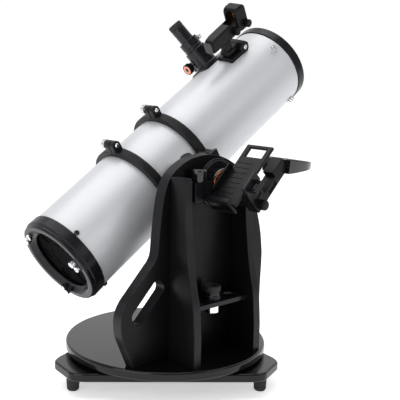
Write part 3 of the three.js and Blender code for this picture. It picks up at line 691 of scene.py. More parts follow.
def panel_outline():
    foot = TABLE_TOP + GAP
    right = smooth_line([(176, 110), (175, 164), (177, 226), (176, 252), (168, 298), (151, 347), (120, 401),
                         (95, 427), (73, 441), (44, 452), (15, 457)])
    left = smooth_line([(15, 457), (-8, 456), (-41, 449), (-71, 433), (-88, 414), (-99, 386), (-104, 358),
                        (-107, 335), (-110, 307), (-113, 278), (-120, 264)])
    toe = smooth_line([(-183, 201), (-192, 188), (-197, 174), (-198, 156), (-195, 136), (-189, 121)])
    return [Vector((-167, foot)), Vector((175, foot)), *right[:-1], *left, *toe]


def rib_outline(top):
    foot = TABLE_TOP + GAP
    front = [(171.5, 125), (169.5, 150), (166, 186), (159, 216), (152, 250), (147.5, 280), (142.5, 318), (139.5, 358),
             (138.2, 400), (138, 416)]
    kept = [point for point in front if point[1] < top - 3]
    back = GAP - PANEL_FACE
    return [Vector((back, foot)), Vector((171.5, foot)), *smooth_line(kept, 6), Vector((kept[-1][0] - 3, top)),
            Vector((back, top))]


def stand():
    bore = PIVOT_RADIUS + GAP
    table_profile = [(bore, TABLE_BOTTOM), (TABLE_RADIUS, TABLE_BOTTOM), (TABLE_RADIUS, TABLE_TOP), (bore, TABLE_TOP)]
    disc = turned("z", table_profile, sides=240, soften=5.0, steps=5)
    painted(disc, 1, lambda at, normal: abs(normal.z) < 0.9)
    stand_in("turntable", disc, STAND, BOARD_TOP, BULLNOSE)

    y0, y1 = PANEL_FACE, PANEL_FACE + PANEL_THICK
    holes = [slot_outline(-134, 192, 93, 31.5, 13, 45), circle(AXIS_X, AXIS_Z, SHAFT_RADIUS + 5 + GAP)]
    panel = upright(panel_outline(), y0, y1, 0.9, holes)
    painted(panel, 1, lambda at, normal: abs(normal.y) < 0.5)
    stand_in("side_panel", panel, STAND, BOARD_FACE, BOARD_EDGE)
    for node, (x, top) in RIBS.items():
        rib = moved(slab(rib_outline(top), x, x + BOARD, 0.8), SIDEWAYS)
        painted(rib, 1, lambda at, normal: abs(normal.x) < 0.5)
        stand_in(node, rib, STAND, BOARD_FACE, BOARD_EDGE)
    screws = [Matrix.Translation((x + BOARD / 2, y1, z)) @ AIM["y"] for x, top in RIBS.values()
              for z in (110, (110 + top - 40) / 2, top - 40)]
    trim("panel_screws", "side_panel", copied(socket_screw(5, 0.9), screws), STAND, DARK_STEEL)

    sleeve = [(SHAFT_RADIUS + GAP, y0 + GAP), (SHAFT_RADIUS + 5, y0 + GAP), (SHAFT_RADIUS + 5, y1 - GAP),
              (SHAFT_RADIUS + GAP, y1 - GAP)]
    stand_in("altitude_bushing", turned("y", sleeve, (AXIS_X, 0, AXIS_Z), 64, 0.6), STAND, NYLON)


def tray():
    x0, x1 = RIBS["rib_left"][0] + BOARD + GAP, RIBS["rib_right"][0] - GAP
    outline = [(x0, TRAY_FRONT), (x1, TRAY_FRONT), (x1, PANEL_FACE - GAP), (x0, PANEL_FACE - GAP)]
    holes = [circle(x, TRAY_HOLE_Y, TRAY_HOLE_RADIUS, 48) for x in TRAY_HOLES]
    shelf = slab(outline, TRAY_TOP - 4, TRAY_TOP, 0.5, holes)
    shelf = fused(shelf, brick(x0, x1, TRAY_FRONT, TRAY_FRONT + 2.5, TRAY_TOP - 9, TRAY_TOP, 0.9))
    stand_in("accessory_tray", shelf, STAND, SATIN)


def eyepiece_whole(barrel, body, cup, lens):
    """The four bodies as one shape, each with a material of its own."""
    for index, shape in enumerate((body, cup, lens), start=1):
        painted(shape, index, lambda at, normal: True)
    return together(barrel, body, cup, lens)


def spare_eyepiece():
    """Plated barrel, black body with a grooved waist and a folded rubber eyecup round the lens."""
    seat, barrel = TRAY_TOP + GAP, 25
    tube = [(13.6, seat - barrel), (15.9, seat - barrel), (15.9, seat), (13.6, seat)]
    tube = turned("z", tube, sides=64, soften=0.5)
    body = [(0, seat), (18.5, seat), (18.5, seat + 2.4), (17.7, seat + 3), (17.7, seat + 4),
            (18.5, seat + 4.6), (18.5, seat + 7), (16.5, seat + 9), (16.5, seat + 15), (0, seat + 15)]
    body = turned("z", body, sides=64, soften=0.4)
    cup = [(12, seat + 15), (16.6, seat + 15), (17.5, seat + 17), (17.5, seat + 24), (16.6, seat + 26.6),
           (14.6, seat + 27), (13, seat + 24), (12, seat + 20)]
    cup = turned("z", cup, sides=64, soften=0.7)
    lens = [(0, seat + 15.1), (11.9, seat + 15.1), (11.9, seat + 17), (8, seat + 18), (0, seat + 18.6)]
    lens = turned("z", lens, sides=48, soften=0.6)
    whole = shifted(eyepiece_whole(tube, body, cup, lens), TRAY_HOLES[1], TRAY_HOLE_Y, 0)
    stand_in("spare_eyepiece", whole, STAND, CHROME, ANODISED, RUBBER, LENS)


# ---- altitude bearing ----

def altitude_bearing():
    axis_at = (AXIS_X, 0, AXIS_Z)
    inner = PANEL_FACE + PANEL_THICK + GAP
    shaft = turned("y", [(0, KNOB_FACE + 10), (SHAFT_RADIUS, KNOB_FACE + 10), (SHAFT_RADIUS, inner), (38, inner),
                         (38, inner + 12), (0, inner + 12)], axis_at, 96, 0.8)
    stand_in("altitude_shaft", shaft, STAND, STEEL)

    bore = SHAFT_RADIUS + GAP
    rim = [(bore, HUB_BACK), (47, HUB_BACK), (48, HUB_BACK - 1.5), (46.8, HUB_BACK - 3.4), (44, HUB_BACK - 3.9),
           (43.4, HUB_FACE + 0.6), (41, HUB_FACE), (32.5, HUB_FACE), (bore, HUB_FACE)]
    disc = turned("y", rim, axis_at, 128, 0.5)
    knob_room = rod("y", HUB_BACK - 40, HUB_FACE, 33, axis_at, 96, 0)
    bracket = carved(brick(-44, 8, HUB_BACK - 24, HUB_BACK, 373, 410, 1.6), knob_room,
                     brick(-38, -12, HUB_BACK - 30, HUB_BACK - 22.8, 378, 404, 0.6))
    hub = fused(disc, carved(bracket, rod("y", -200, 0, bore, axis_at, 64, 0)))
    stand_in("altitude_hub", hub, STAND, SATIN)

    knob = [(0, HUB_FACE - 4.8), (bore, HUB_FACE - 4.8), (bore, HUB_FACE - GAP), (29, HUB_FACE - GAP),
            (30, HUB_FACE - 2), (30, KNOB_FACE + 3), (28.6, KNOB_FACE), (27.5, KNOB_FACE), (27.5, KNOB_FACE + 3),
            (21.2, KNOB_FACE + 3), (19, KNOB_FACE + 4.6), (6, KNOB_FACE + 5), (0, KNOB_FACE + 5)]
    grip = turned("y", knob, axis_at, 144, 0.5)
    flutes = [Matrix.Translation(axis_at) @ Matrix.Rotation(30 * k * DEG, 4, "Y") for k in range(12)]
    grooves = copied(rod("y", KNOB_FACE + 4.5, HUB_FACE - 2.6, 2.2, (31.2, 0, 0), 24, 0.8), flutes)
    stand_in("altitude_knob", carved(grip, grooves), STAND, GLOSSY)
    ring = [(21.5, KNOB_FACE - 0.2), (22.5, KNOB_FACE - 0.5), (26.4, KNOB_FACE - 0.5), (27.2, KNOB_FACE + 0.4),
            (27.2, KNOB_FACE + 2.7), (21.5, KNOB_FACE + 2.7)]
    centre = STAND @ Matrix.Translation(axis_at)
    orange = lathe_turned("orange anodised aluminium", (0.72, 0.20, 0.05), 0.24, centre, "Y")
    stand_in("altitude_knob_ring", turned("y", ring, axis_at, 128, 0.4), STAND, orange)


def saddle():
    face = PANEL_FACE + PANEL_THICK + 12 + 2 * GAP - (middle("tube").y - table.y) / MM
    jaw = SADDLE_FACE + 9
    outline = [(face, -40), (jaw, -40), (jaw, -23.4), (SADDLE_FACE, -24.6), (SADDLE_FACE, 24.6), (jaw, 23.4),
               (jaw, 40), (face, 40)]
    block = lengthwise(outline, -62, 62, 1.0)
    block = shared(block, rod("y", -200, 0, 55, sides=160))
    stand_in("saddle", carved(block, rod("z", 20, 60, 3.3, (0, SADDLE_FACE + 5, 0), 32, 0)), TUBE, CAST)
    seat = SADDLE_FACE + GAP
    section = [(seat, -22.5), (seat + 10, -20), (seat + 10, 20), (seat, 22.5)]
    stand_in("dovetail_bar", lengthwise(section, -74, 74, 0.6), TUBE, ANODISED)
    at = Matrix.Translation((0, SADDLE_FACE + 5, 0))
    grip = fused(cone(40.4, 10.5, 43, 11), knurled(12, 42.6, 57, 14, 0.9, 0.8), cone(56, 8, 58, 7),
                 rod("z", 23.2, 45, 3, sides=32))
    stand_in("saddle_knob", moved(grip, at), TUBE, PLASTIC)


# ---- clamp rings ----

def clamp_half(side):
    """Half of a clamp ring centred on x = 0, with shallow grooves, a lug for the screw and a hinge ear."""
    half_width, bore, rim = 10, TUBE_RADIUS + GAP, CLAMP_RADIUS
    outer = [(rim - 2.2, -half_width), (rim - 0.6, 1 - half_width)]
    lands = 5
    step = (2 * half_width - 4) / lands
    for k in range(lands):
        x = 2 - half_width + k * step
        outer += [(rim, x), (rim, x + step * 0.62), (rim - 0.7, x + step * 0.74), (rim - 0.7, x + step * 0.9)]
    outer = outer[:-2] + [(rim - 0.6, half_width - 1), (rim - 2.2, half_width)]
    band = turned("x", [(bore, -half_width), *outer, (bore, half_width)], (0, 0, 0), 144, 0.25)
    low, high = sorted((side * 0.4, side * 150))
    half = shared(band, brick(-20, 20, low, high, -150, 150, 0))

    tongue = [(-10, rim - 6), (10, rim - 6)]
    tongue += [(10 * math.cos(a * DEG), LUG_RADIUS - 10 + 10 * math.sin(a * DEG)) for a in range(0, 181, 12)]
    low, high = sorted((side * 0.9, side * 13))
    lug = upright(tongue, low, high, 1.0)
    low, high = sorted((side * 12, side * 19))
    web = brick(-2, 2, low, high, rim - 6, rim + 8, 0.6)
    web = carved(web, moved(brick(-5, 5, -20, 20, 0, 30, 0), Matrix.Translation((0, side * 19, rim + 1))
                            @ Matrix.Rotation(side * 45 * DEG, 4, "X")))
    low, high = sorted((side * 0.4, side * 9))
    ear = brick(-10, 10, low, high, -rim - 6, -rim + 3, 1.2)
    half = fused(half, lug, web, ear)
    if side < 0:
        foot = brick(-10, 10, SADDLE_FACE + 10 + 2 * GAP, 5 - rim, -20, 20, 1.2)
        foot = carved(foot, rod("x", -12, 12, rim - 3, sides=144, soften=0))
        half = fused(half, foot)
    return carved(half, rod("y", -40, 40, 3.6, (0, 0, SCREW_AT), 32, 0))


def clamps():
    halves = {"fixed": clamp_half(-1), "swing": clamp_half(1)}
    for k, centre in enumerate(CLAMP_AT, start=1):
        at = TUBE @ Matrix.Translation((centre, 0, 0))
        for tag, half in halves.items():
            stand_in(f"ring_{k}_{tag}", half.copy(), at, CAST)
        nut = [(0, -NUT_END), (3.2, -NUT_END), (4.6, 1.6 - NUT_END), (4.6, -13), (3.7, -13), (3.7, 1.5 - NUT_END),
               (0, 1.5 - NUT_END)]
        nut = turned("y", nut, (0, 0, SCREW_AT), 48, 0.3)
        trim(f"ring_{k}_cap_nut", f"ring_{k}_fixed", nut, at, CHROME, slot="chrome_hardware")
        stem = fused(rod("y", 2.5 - NUT_END, 18, 2.9, sides=32), rod("y", 13.4, 17.4, 6, sides=48))
        grip = fused(knurled(10, 17, 26, 22, 0.7, 0.6), cone(25.5, 7.5, 28, 6.5))
        knob = together(stem, moved(grip, AIM["y"]))
        stand_in(f"ring_{k}_screw", shifted(knob, 0, 0, SCREW_AT), at, CHROME)
        hinge_at = (0, 0, -CLAMP_RADIUS - 3)
        pin = together(rod("x", -11.5, 11.5, 1.6, hinge_at, 24), rod("x", -12.4, -10.2, 2.6, hinge_at, 24))
        trim(f"ring_{k}_hinge_pin", f"ring_{k}_fixed", pin, at, ZINC, slot="chrome_hardware")


# ---- optical tube ----

def tube():
    r, inside = TUBE_RADIUS, TUBE_RADIUS - TUBE_WALL
    wall_line = [(inside, TUBE_REAR), (r, TUBE_REAR), (r, TUBE_FRONT), (inside, TUBE_FRONT)]
    skin = turned("x", wall_line, sides=224, soften=0.3)
    skin = carved(skin, moved(rod("z", 60, 120, 24, (FOCUSER_AT, 0, 0), 48, 0), leaning(FOCUSER_TURN)))
    studs = copied(rod("z", 80, 100, 2.8, (VANE_AT, 0, 0), 24, 0), [leaning(lean) for lean in VANE_LEANS])
    skin = carved(skin, studs)
    painted(skin, 1, lambda at, normal: math.hypot(at.y, at.z) < r - 0.5)
    stand_in("tube", skin, TUBE, SILVER, FLOCK)
    seam = lengthwise([(-1.6, -0.25), (1.6, -0.25), (1.2, 0.12), (-1.2, 0.12)], TUBE_REAR + 1, TUBE_FRONT - 1, 0.05)
    trim("tube_seam", "tube", shifted(seam, 0, 0, -r), TUBE, SILVER)
    screws = [leaning(lean) @ Matrix.Translation((TUBE_REAR + 5, 0, r)) for lean in VANE_LEANS]
    screws = copied(cross_screw(5.2, 4.6), screws)
    trim("rear_ring_screws", "tube", screws, TUBE, DARK_STEEL, slot="chrome_hardware")


def end_rings():
    r, bore = TUBE_RADIUS, TUBE_RADIUS - TUBE_WALL - GAP
    rear = CELL_REAR
    profile = [(bore, TUBE_REAR + 14), (bore, TUBE_REAR - GAP), (94, TUBE_REAR - GAP), (94, rear + 9.5),
               (92.6, rear + 8.4), (91.2, rear + 8), (91.2, rear + 3.2), (90.4, rear + 0.8), (88, rear),
               (80, rear), (78, rear + 0.6), (67.5, rear + 8.4), (66, rear + 9.6), (66, rear + 13),
               (83, rear + 13), (86, TUBE_REAR + 14)]
    ring = turned("x", profile, sides=192, soften=0.6)
    holes = []
    for k in range(3):
        turn = leaning(CELL_LEAN + 120 * k)
        holes += [turn @ Matrix.Translation((0, y, CELL_SCREW_AT)) for y in (-SCREW_PAIR, SCREW_PAIR)]
    ring = carved(ring, copied(rod("x", rear - 9, rear + 20, 3.3, sides=24, soften=0), holes))
    stand_in("cell_ring", ring, TUBE, SATIN)

    front = [(bore, TUBE_FRONT - 6), (86.5, TUBE_FRONT - 6), (84.5, RIM_FRONT - 8), (84.5, RIM_FRONT - 2),
             (86.5, RIM_FRONT), (92.5, RIM_FRONT), (94, RIM_FRONT - 1.5), (94, TUBE_FRONT + 2),
             (93, TUBE_FRONT + GAP), (bore, TUBE_FRONT + GAP)]
    stand_in("front_ring", turned("x", front, sides=192, soften=0.6), TUBE, SATIN)


def mirrors():
    back = CELL_REAR + 16
    pockets = [slab(circle(52 * math.cos(a * DEG), 52 * math.sin(a * DEG), 13, 40), back - 5, back + 4, 0.3)
               for a in range(30, 390, 60)]
    cell = carved(slab(circle(0, 0, 81, 160), back + 1.4, back + 6, 0.5), *pockets)
    ribs = [slab(circle(0, 0, r, 128), back, back + 2, 0.3, [circle(0, 0, r - 3, 128)]) for r in (78, 34)]
    stand_in("mirror_cell", moved(fused(cell, *ribs), AIM["x"]), TUBE, FLOCK)
    glass = back + 6 + GAP
    dish = [(0, glass), (74, glass), (75, glass + 1), (75, glass + 18), (74, glass + 19), (62, glass + 18.4),
            (50, glass + 17.9), (37, glass + 17.5), (25, glass + 17.2), (12, glass + 17.05), (0, glass + 17)]
    blank = turned("x", dish, sides=192, soften=0)
    painted(blank, 1, lambda at, normal: not (normal.x > 0.9 and at.x > glass + 10))
    stand_in("primary_mirror", blank, TUBE, MIRROR, GLASS_EDGE)

    for k in range(3):
        at = wall(0, CELL_LEAN + 120 * k)
        for kind, y, length in (("collimation", SCREW_PAIR, 10), ("lock", -SCREW_PAIR, 7)):
            near = CELL_REAR - GAP
            if kind == "collimation":
                grip = fused(knurled(6.6, -length, 0, 20, 0.5, 0.5), cone(0.2 - length, 4.4, -length, 3.8, 32))
            else:
                head = [(0, -length), (5.4, -length), (6.6, 1 - length), (6.6, 0), (0, 0)]
                driver_slot = brick(-8, 8, -0.7, 0.7, -length - 5, 1.6 - length, 0)
                grip = carved(turned("z", head, sides=48), driver_slot)
            grip = shifted(moved(grip, AIM["x"]), near, 0, 0)
            screw = fused(grip, rod("x", CELL_REAR - 2, back - GAP, 3, sides=32))
            stand_in(f"{kind}_screw_{k + 1}", shifted(screw, 0, y, CELL_SCREW_AT), at, CHROME)


def spider():
    reach = TUBE_RADIUS - TUBE_WALL - 1
    hub = [(0, DIAGONAL_END + GAP), (6, DIAGONAL_END + GAP), (6, VANE_AT - 20), (13, VANE_AT - 20),
           (14, VANE_AT - 18), (14, VANE_AT + 15), (12, VANE_AT + 18), (0, VANE_AT + 18)]
    vanes = []
    nuts = []
    r = TUBE_RADIUS
    for lean in VANE_LEANS:
        turn = leaning(lean)
        vanes.append(moved(brick(VANE_AT - 13, VANE_AT + 13, -0.6, 0.6, 5, reach, 0.15), turn))
        vanes.append(moved(rod("z", reach - 5, 97, 2.5, (VANE_AT, 0, 0), 32), turn))
        nut = fused(rod("z", r + GAP, r + 1.6, 8.8, sides=48), knurled(8.2, r + 1.4, r + 7.4, 18, 0.7, 0.6),
                    cone(r + 7, 4.6, r + 9, 3.8, 32))
        nuts.append(moved(shifted(nut, VANE_AT, 0, 0), turn))
    stand_in("spider", fused(turned("x", hub, sides=64), *vanes), TUBE, CAST)
    trim("spider_nuts", "spider", together(*nuts), TUBE, CHROME, slot="chrome_hardware")
    repaint("diagonal_mirror", MIRROR)
    repaint("diagonal_holder", PLASTIC)


# ---- focuser ----

def focuser():
    at = wall(FOCUSER_AT, FOCUSER_TURN)
    skin = rod("x", -80, 80, TUBE_RADIUS + GAP, sides=224, soften=0)
    corners = rounded([(-36, -33), (40, -33), (40, 33), (-36, 33)], 9, steps=8)
    plate = shared(slab(corners, 60, 110, 0.9), rod("x", -80, 80, TUBE_RADIUS + 4, sides=224, soften=0))
    flange = carved(plate, skin.copy())
    neck = [(0, 80), (28.5, 80), (28.5, 95), (25.2, 97), (25.2, 136.2), (23.8, 138), (0, 138)]
    neck = carved(turned("z", neck, sides=128, soften=0.8), skin)
    housing = brick(-18, 18, 8, PINION_Y + 8, 96, PINION_Z + 9, 2.2)
    body = fused(flange, neck, housing)
    body = carved(body, rod("z", 60, 150, DRAW_RADIUS + GAP, sides=96, soften=0),
                  rod("x", -40, 40, 3.3, (0, PINION_Y, PINION_Z), 32, 0))
    stand_in("focuser_body", body, at, ANODISED)
    bolts = [Matrix.Rotation(lean * DEG, 4, "X") @ Matrix.Translation((x, 0, TUBE_RADIUS + 3.6))
             for x in (-30, 34) for lean in (-16, 16)]
    bolts = copied(socket_screw(3.2, 2.2), bolts)
    trim("focuser_bolts", "focuser_body", bolts, at, DARK_STEEL, slot="chrome_hardware")

    draw = [(16.4, 84), (DRAW_RADIUS, 84), (DRAW_RADIUS, 138 + GAP), (22, 138 + GAP), (22, 143), (21.2, 143.8),
            (21.2, 145), (22, 145.8), (22, 162), (21, 163), (16.4, 163)]
    draw = carved(turned("z", draw, sides=96), rod("x", 10, 30, 2.8, (0, 0, 154), 24, 0))
    stand_in("drawtube", draw, at, ANODISED)

    seat = EYEPIECE_SEAT
    barrel = turned("z", [(13.6, 140), (15.9, 140), (15.9, seat), (13.6, seat)], sides=64)
    body = turned("z", [(0, seat), (15.9, seat), (15.9, 196), (15.2, 197), (0, 197)], sides=64)
    cup = [(11, 197), (15.6, 197), (15.9, 199), (15.9, 205.6), (14.5, 208.6), (12.4, 209), (11.6, 206), (11, 202)]
    cup = turned("z", cup, sides=64, soften=0.8)
    lens = turned("z", [(0, 197.1), (10.9, 197.1), (10.9, 199), (7, 200), (0, 200.6)], sides=48)
    stand_in("eyepiece", eyepiece_whole(barrel, body, cup, lens), at, CHROME, ANODISED, RUBBER, LENS)

    screw = fused(moved(knurled(6.2, 26.5, 35, 16, 0.6, 0.6), AIM["x"]), rod("x", 24, 27, 3.8, sides=32),
                  rod("x", 34.6, 36, 4.2, sides=32), rod("x", 16.3, 26, 2.5, sides=32))
    stand_in("eyepiece_screw", shifted(screw, 0, 0, 154), at, CHROME)

    axis_at = (0, PINION_Y, PINION_Z)
    stand_in("pinion_shaft", rod("x", -KNOB_REACH, KNOB_REACH, 3, axis_at, 48, 0.5), at, CHROME)
    centre = at @ Matrix.Translation(axis_at)
    copper = lathe_turned("copper anodised aluminium", (0.72, 0.30, 0.22), 0.28, centre, "X")
    near, far = KNOB_REACH - 7.5, KNOB_REACH + 4.5
    grip = fused(knurled(12.5, near + 1.6, far - 0.4, 30, 0.6, 0.6), cone(near, 10.4, near + 2, 11.4, 64))
    grip = carved(grip, rod("z", far - 1.2, far + 5, 10.6, sides=64, soften=0),
                  rod("z", near - 5, KNOB_REACH + GAP, 3.3, sides=32, soften=0))
    face = [(0, far - 1.1), (10.3, far - 1.1), (10.3, far - 0.5), (9.6, far), (5.2, far), (4.6, far - 0.6),
            (0, far - 0.6)]
    face = turned("z", face, sides=64, soften=0.2)
    painted(face, 1, lambda at_, normal: True)
    painted(face, 2, lambda at_, normal: math.hypot(at_.x, at_.y) < 4.8)
    knob = together(grip, face)
    for tag, turn in ((1, Matrix.Rotation(math.pi, 4, "Z")), (2, Matrix.Identity(4))):
        one = moved(knob.copy(), Matrix.Translation(axis_at) @ turn @ AIM["x"])
        stand_in(f"focus_knob_{tag}", one, at, PLASTIC, copper, DARK_STEEL)


# ---- finder ----

def finder():
    at = wall(0, FINDER_TURN)
    skin = rod("x", 240, 400, TUBE_RADIUS + GAP, sides=224, soften=0)
    low_arm = carved(brick(282, 330, -20, 20, 70, 100, 2.5), skin.copy())
    high_arm = brick(286, 326, -12, 12, 103, 114, 2.5)
    post = brick(288, 306, -9, 9, 98, 134, 2.0)
    block_at = Matrix.Translation((330, 0, 101)) @ Matrix.Rotation(22.5 * DEG, 4, "Y")
    block = carved(moved(turned("y", [(0, -21), (15, -21), (15, 21), (0, 21)], sides=8, soften=1.6), block_at), skin)
    stand_in("finder_shoe", fused(low_arm, high_arm, post, block), at, PLASTIC)
    bolt = moved(socket_screw(5.4, 3), Matrix.Translation((330, -21, 103)) @ Matrix.Rotation(math.pi / 2, 4, "X"))
    trim("finder_shoe_bolt", "finder_shoe", bolt, at, CHROME, slot="chrome_hardware")

    bottom = 134 + GAP
    side = [(246, bottom + 3), (249, bottom), (350, bottom), (352, 158), (336, 168), (262, 165), (248, 160)]
    body = upright(rounded(side, 9, steps=5), -13, 13, 4.0)
    head = upright(slot_outline(348, 164, 34, 56, 12), -18, 18, 3.4)
    window = lengthwise(slot_outline(0, 170, 24, 34, 11.6), 310, 390, 0.01)
    stand_in("finder_body", carved(fused(body, head), window), at, PLASTIC)
    cap = lengthwise(slot_outline(0, 147, 21, 25, 6), 244.4, 247.2, 0.9)
    trim("finder_end_cap", "finder_body", cap, at, CAP_PLASTIC)
    lens = lengthwise(slot_outline(0, 170, 23.4, 33.4, 11.3), 352, 354.5, 0.5)
    stand_in("finder_lens", lens, at, AMBER)
    for tag, x, y, z in ((1, 356, -18, 147), (2, 322, -13, 146)):
        knob = fused(cone(GAP, 7.6, 2, 8), knurled(8.5, 1.8, 9.4, 22, 0.5, 0.5), cone(9, 6.6, 11, 5.8))
        stand_in(f"finder_knob_{tag}", moved(knob, Matrix.Translation((x, y, z)) @ UPRIGHT), at, PLASTIC)


# ---- device dock ----

def dock():
    arm = fused(brick(-14, 24, -176, HUB_FACE - GAP, -48, -34, 1.6), brick(-14, 76, -186, -160, -58, -40, 1.6),
                brick(-14, 22, -186, -160, -50, 3.7, 1.6), brick(62, 100, -186, -160, -58, -30, 1.6))
    arm = carved(arm, brick(30, 56, -190, -183.6, -54, -44, 0.6), brick(-8, 16, -190, -184, -34, -6, 0.8))
    stand_in("dock_arm", arm, DOCK, PLASTIC)

    floor = brick(-50, 92, -192, -128, 6, 12, 1.2)
    lip = fused(brick(-56, -50, -186, -125, -8, 26, 1.6), brick(-56, -46, -186, -125, 22, 26, 1.3))
    lip = carved(lip, brick(-60, -40, -180, -131, -3, 19, 0))
    rail = brick(-30, 34, -129, -125, 6, 25, 1.2)
    form = fused(floor, lip, rail)
    grooves = together(*[brick(-40 + 12 * k, -37 + 12 * k, -172, -134, 11.2, 15, 0.2) for k in range(8)])
    form = carved(form, brick(62, 86, -182, -138, 0, 20, 0), brick(-30, 30, -194, -176, 3, 9.3, 0), grooves)
    stand_in("dock_platform", form, DOCK, PLASTIC)

    jaw = fused(brick(-22, 22, -199, -177, 4.1, 9, 0.8), brick(-22, 22, -203, -196, 4.1, 26, 1.6),
                brick(-14, 14, -218, -203.4, 6, 12, 1.4), brick(-14, 14, -206, -200, 6, 12, 0))
    stand_in("dock_jaw", carved(jaw, brick(-8, 8, -213, -206, 0, 20, 0)), DOCK, SATIN)
    pad = together(*[brick(-20 + 7 * k, -16 + 7 * k, -196.4, -195.2, 10, 24, 0.3) for k in range(6)])
    trim("dock_jaw_pads", "dock_jaw", pad, DOCK, RUBBER, slot="rubber")

    knob = fused(cone(186.3, 9, 189, 9.4), knurled(10, 188.8, 198, 18, 0.7, 0.6), cone(197.6, 7.6, 200, 6.8))
    stand_in("dock_slide_knob", moved(knob, Matrix.Translation((0, 0, -49)) @ UPRIGHT), DOCK, PLASTIC)

    x, y, z = -28, HUB_BACK - 15.5, 410 + GAP
    tall = [(0, z), (13, z), (13.6, z + 1.4), (14.5, z + 2.4), (14.5, z + 20), (13.2, z + 23), (11, z + 24),
            (0, z + 24)]
    stand_in("dock_lock_knob", turned("z", tall, (x, y, 0), 96, 0.8), STAND, GLOSSY)

    level = Matrix.Translation(STAND @ Vector((186, -160, 436))) @ Matrix.Rotation(9 * DEG, 4, "Y") @ SCALE
    rim = smooth_line([(-46, -34), (-20, -36), (10, -34), (32, -24), (42, -8), (43, 0), (42, 8), (32, 24),
                       (10, 34), (-20, 36), (-46, 34)])
    keel = [(-60, -24), (-46, -24), (50, -3), (50, 8), (-60, 8)]
    hull = shared(slab(rim, -24, 6, 3.2, steps=4), upright(keel, -50, 50, 0.02))
    ribs = together(*[brick(8 * k, 8 * k + 3, -24, 24, -40, -11.5 + 1.75 * k, 0) for k in range(-4, 4)])
    scoop = slab(smooth_line([(17, -29), (29, -20), (37, -7), (38, 0), (37, 7), (29, 20), (17, 29)]), 0, 20, 1.5)
    form = fused(carved(hull, ribs, scoop), brick(-62, -40, -26, 14, -24, 4, 2.0))
    pocket = brick(-42, 14, -30, 30, 3, 30, 0)
    seat = brick(62 - GAP, 100 + GAP, -186 - GAP, -160 + GAP, -58 - GAP, -30 + GAP, 0)
    moved(seat, level.inverted() @ DOCK)
    stand_in("mirror_tray", carved(form, pocket, seat), level, GLOSSY)
    glass = brick(-41, 13, -29, 29, 3.2, 5, 0.3)
    painted(glass, 1, lambda at, normal: normal.z < 0.9)
    stand_in("dock_mirror", glass, level, MIRROR, GLASS_EDGE)


ground_base()
stand()
tray()
spare_eyepiece()
altitude_bearing()
saddle()
clamps()
tube()
end_rings()
mirrors()
spider()
focuser()
finder()
dock()

# ---- studio ----

SWEEP_TOWARDS = (0.60, 0.72, 0.35)    # the bright side of the room, for light and reflections
SWEEP_GLOW = 0.95
ROOM_GLOW = 0.3
BACKDROP = 1.03                # what the camera sees behind the object
FLOOR_GLOW = 0.5
FLOOR_REACH = 6.0
AIM_HEIGHT = 0.35
LAMPS = (("top", (-0.3, 0.3, 2.6), 2.4, 30),       # place, size and power of each lamp
         ("left", (-2.4, -0.5, 1.0), 1.8, 24),
         ("front", (0.6, -2.4, 1.5), 1.2, 7))
VIEW_AZIMUTH, VIEW_ELEVATION, VIEW_ROLL = -41.97 * DEG, 9.84 * DEG, 0.96 * DEG
CAMERA_FROM_TABLE = Vector((-1.1056713, -1.2065469, 0.640047))
CAMERA_LENS, CAMERA_SENSOR, CAMERA_SHIFT = 74.8, 36, 0.1


def backdrop():
    """White where the camera looks; light and reflections see a bright sweep and a dim room."""
    world = bpy.data.worlds.new("studio")
    world.use_nodes = True
    tree = world.node_tree
    glow = tree.nodes["Background"]
    glow.inputs["Color"].default_value = (0.985, 0.99, 1.0, 1)
    facing = tree.nodes.new("ShaderNodeVectorMath")
    facing.operation = "DOT_PRODUCT"
    facing.inputs[1].default_value = SWEEP_TOWARDS
    ramp = tree.nodes.new("ShaderNodeMapRange")
    ramp.interpolation_type = "SMOOTHSTEP"
    for key, number in (("From Min", -0.25), ("From Max", 0.75), ("To Min", ROOM_GLOW), ("To Max", SWEEP_GLOW)):
        ramp.inputs[key].default_value = number
    seen = tree.nodes.new("ShaderNodeMix")
    seen.inputs["B"].default_value = BACKDROP
    tree.links.new(tree.nodes.new("ShaderNodeTexCoord").outputs["Generated"], facing.inputs[0])
    tree.links.new(facing.outputs["Value"], ramp.inputs["Value"])
    tree.links.new(tree.nodes.new("ShaderNodeLightPath").outputs["Is Camera Ray"], seen.inputs["Factor"])
    tree.links.new(ramp.outputs["Result"], seen.inputs["A"])
    tree.links.new(seen.outputs["Result"], glow.inputs["Strength"])
    bpy.context.scene.world = world


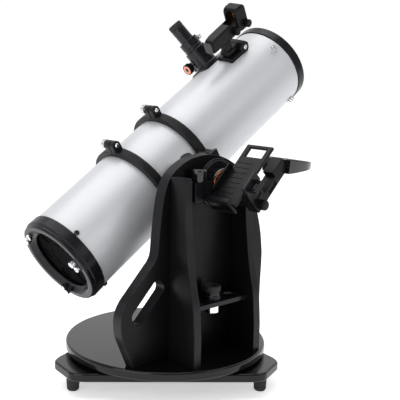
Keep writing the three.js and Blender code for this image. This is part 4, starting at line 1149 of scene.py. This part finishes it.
def studio():
    floor_mesh = bpy.data.meshes.new("floor")
    reach = FLOOR_REACH
    corners = [(-reach, -reach, 0), (reach, -reach, 0), (reach, reach, 0), (-reach, reach, 0)]
    floor_mesh.from_pydata(corners, [], [(0, 1, 2, 3)])
    floor_mesh.materials.append(surface("pale floor", (0.90, 0.90, 0.91), 0.8, mottle=0.01, mottle_scale=2, grain=200,
                                        grain_depth=0.02, specular=0.1))
    shader = floor_mesh.materials[0].node_tree.nodes["Principled BSDF"]
    shader.inputs["Emission Color"].default_value = (1, 1, 1, 1)
    shader.inputs["Emission Strength"].default_value = FLOOR_GLOW
    floor = bpy.data.objects.new("floor", floor_mesh)
    bpy.context.scene.collection.objects.link(floor)
    backdrop()
    aim = Vector((0, 0, AIM_HEIGHT))
    for name, place, size, power in LAMPS:
        lamp = bpy.data.lights.new(name, "AREA")
        lamp.size = size
        lamp.energy = power
        holder = bpy.data.objects.new(name, lamp)
        holder.location = place
        holder.rotation_mode = "QUATERNION"
        holder.rotation_quaternion = (aim - Vector(place)).to_track_quat("-Z", "Y")
        bpy.context.scene.collection.objects.link(holder)
    bpy.context.scene.view_settings.view_transform = "Standard"


def camera():
    level = Vector((math.cos(VIEW_AZIMUTH), math.sin(VIEW_AZIMUTH), 0))
    away = Vector((math.sin(VIEW_AZIMUTH), -math.cos(VIEW_AZIMUTH), 0))
    back = away * math.cos(VIEW_ELEVATION) + Vector((0, 0, math.sin(VIEW_ELEVATION)))
    up = back.cross(level)
    right = math.cos(VIEW_ROLL) * level + math.sin(VIEW_ROLL) * up
    lens = bpy.data.cameras.new("camera")
    lens.sensor_width = CAMERA_SENSOR
    lens.lens = CAMERA_LENS
    lens.shift_x = CAMERA_SHIFT
    holder = bpy.data.objects.new("camera", lens)
    turn = Matrix((right, back.cross(right), back)).transposed().to_4x4()
    holder.matrix_world = Matrix.Translation(CAMERA_FROM_TABLE + Vector((table.x, table.y, 0))) @ turn
    bpy.context.scene.collection.objects.link(holder)
    bpy.context.scene.camera = holder


studio()
camera()

bpy.context.view_layer.update()
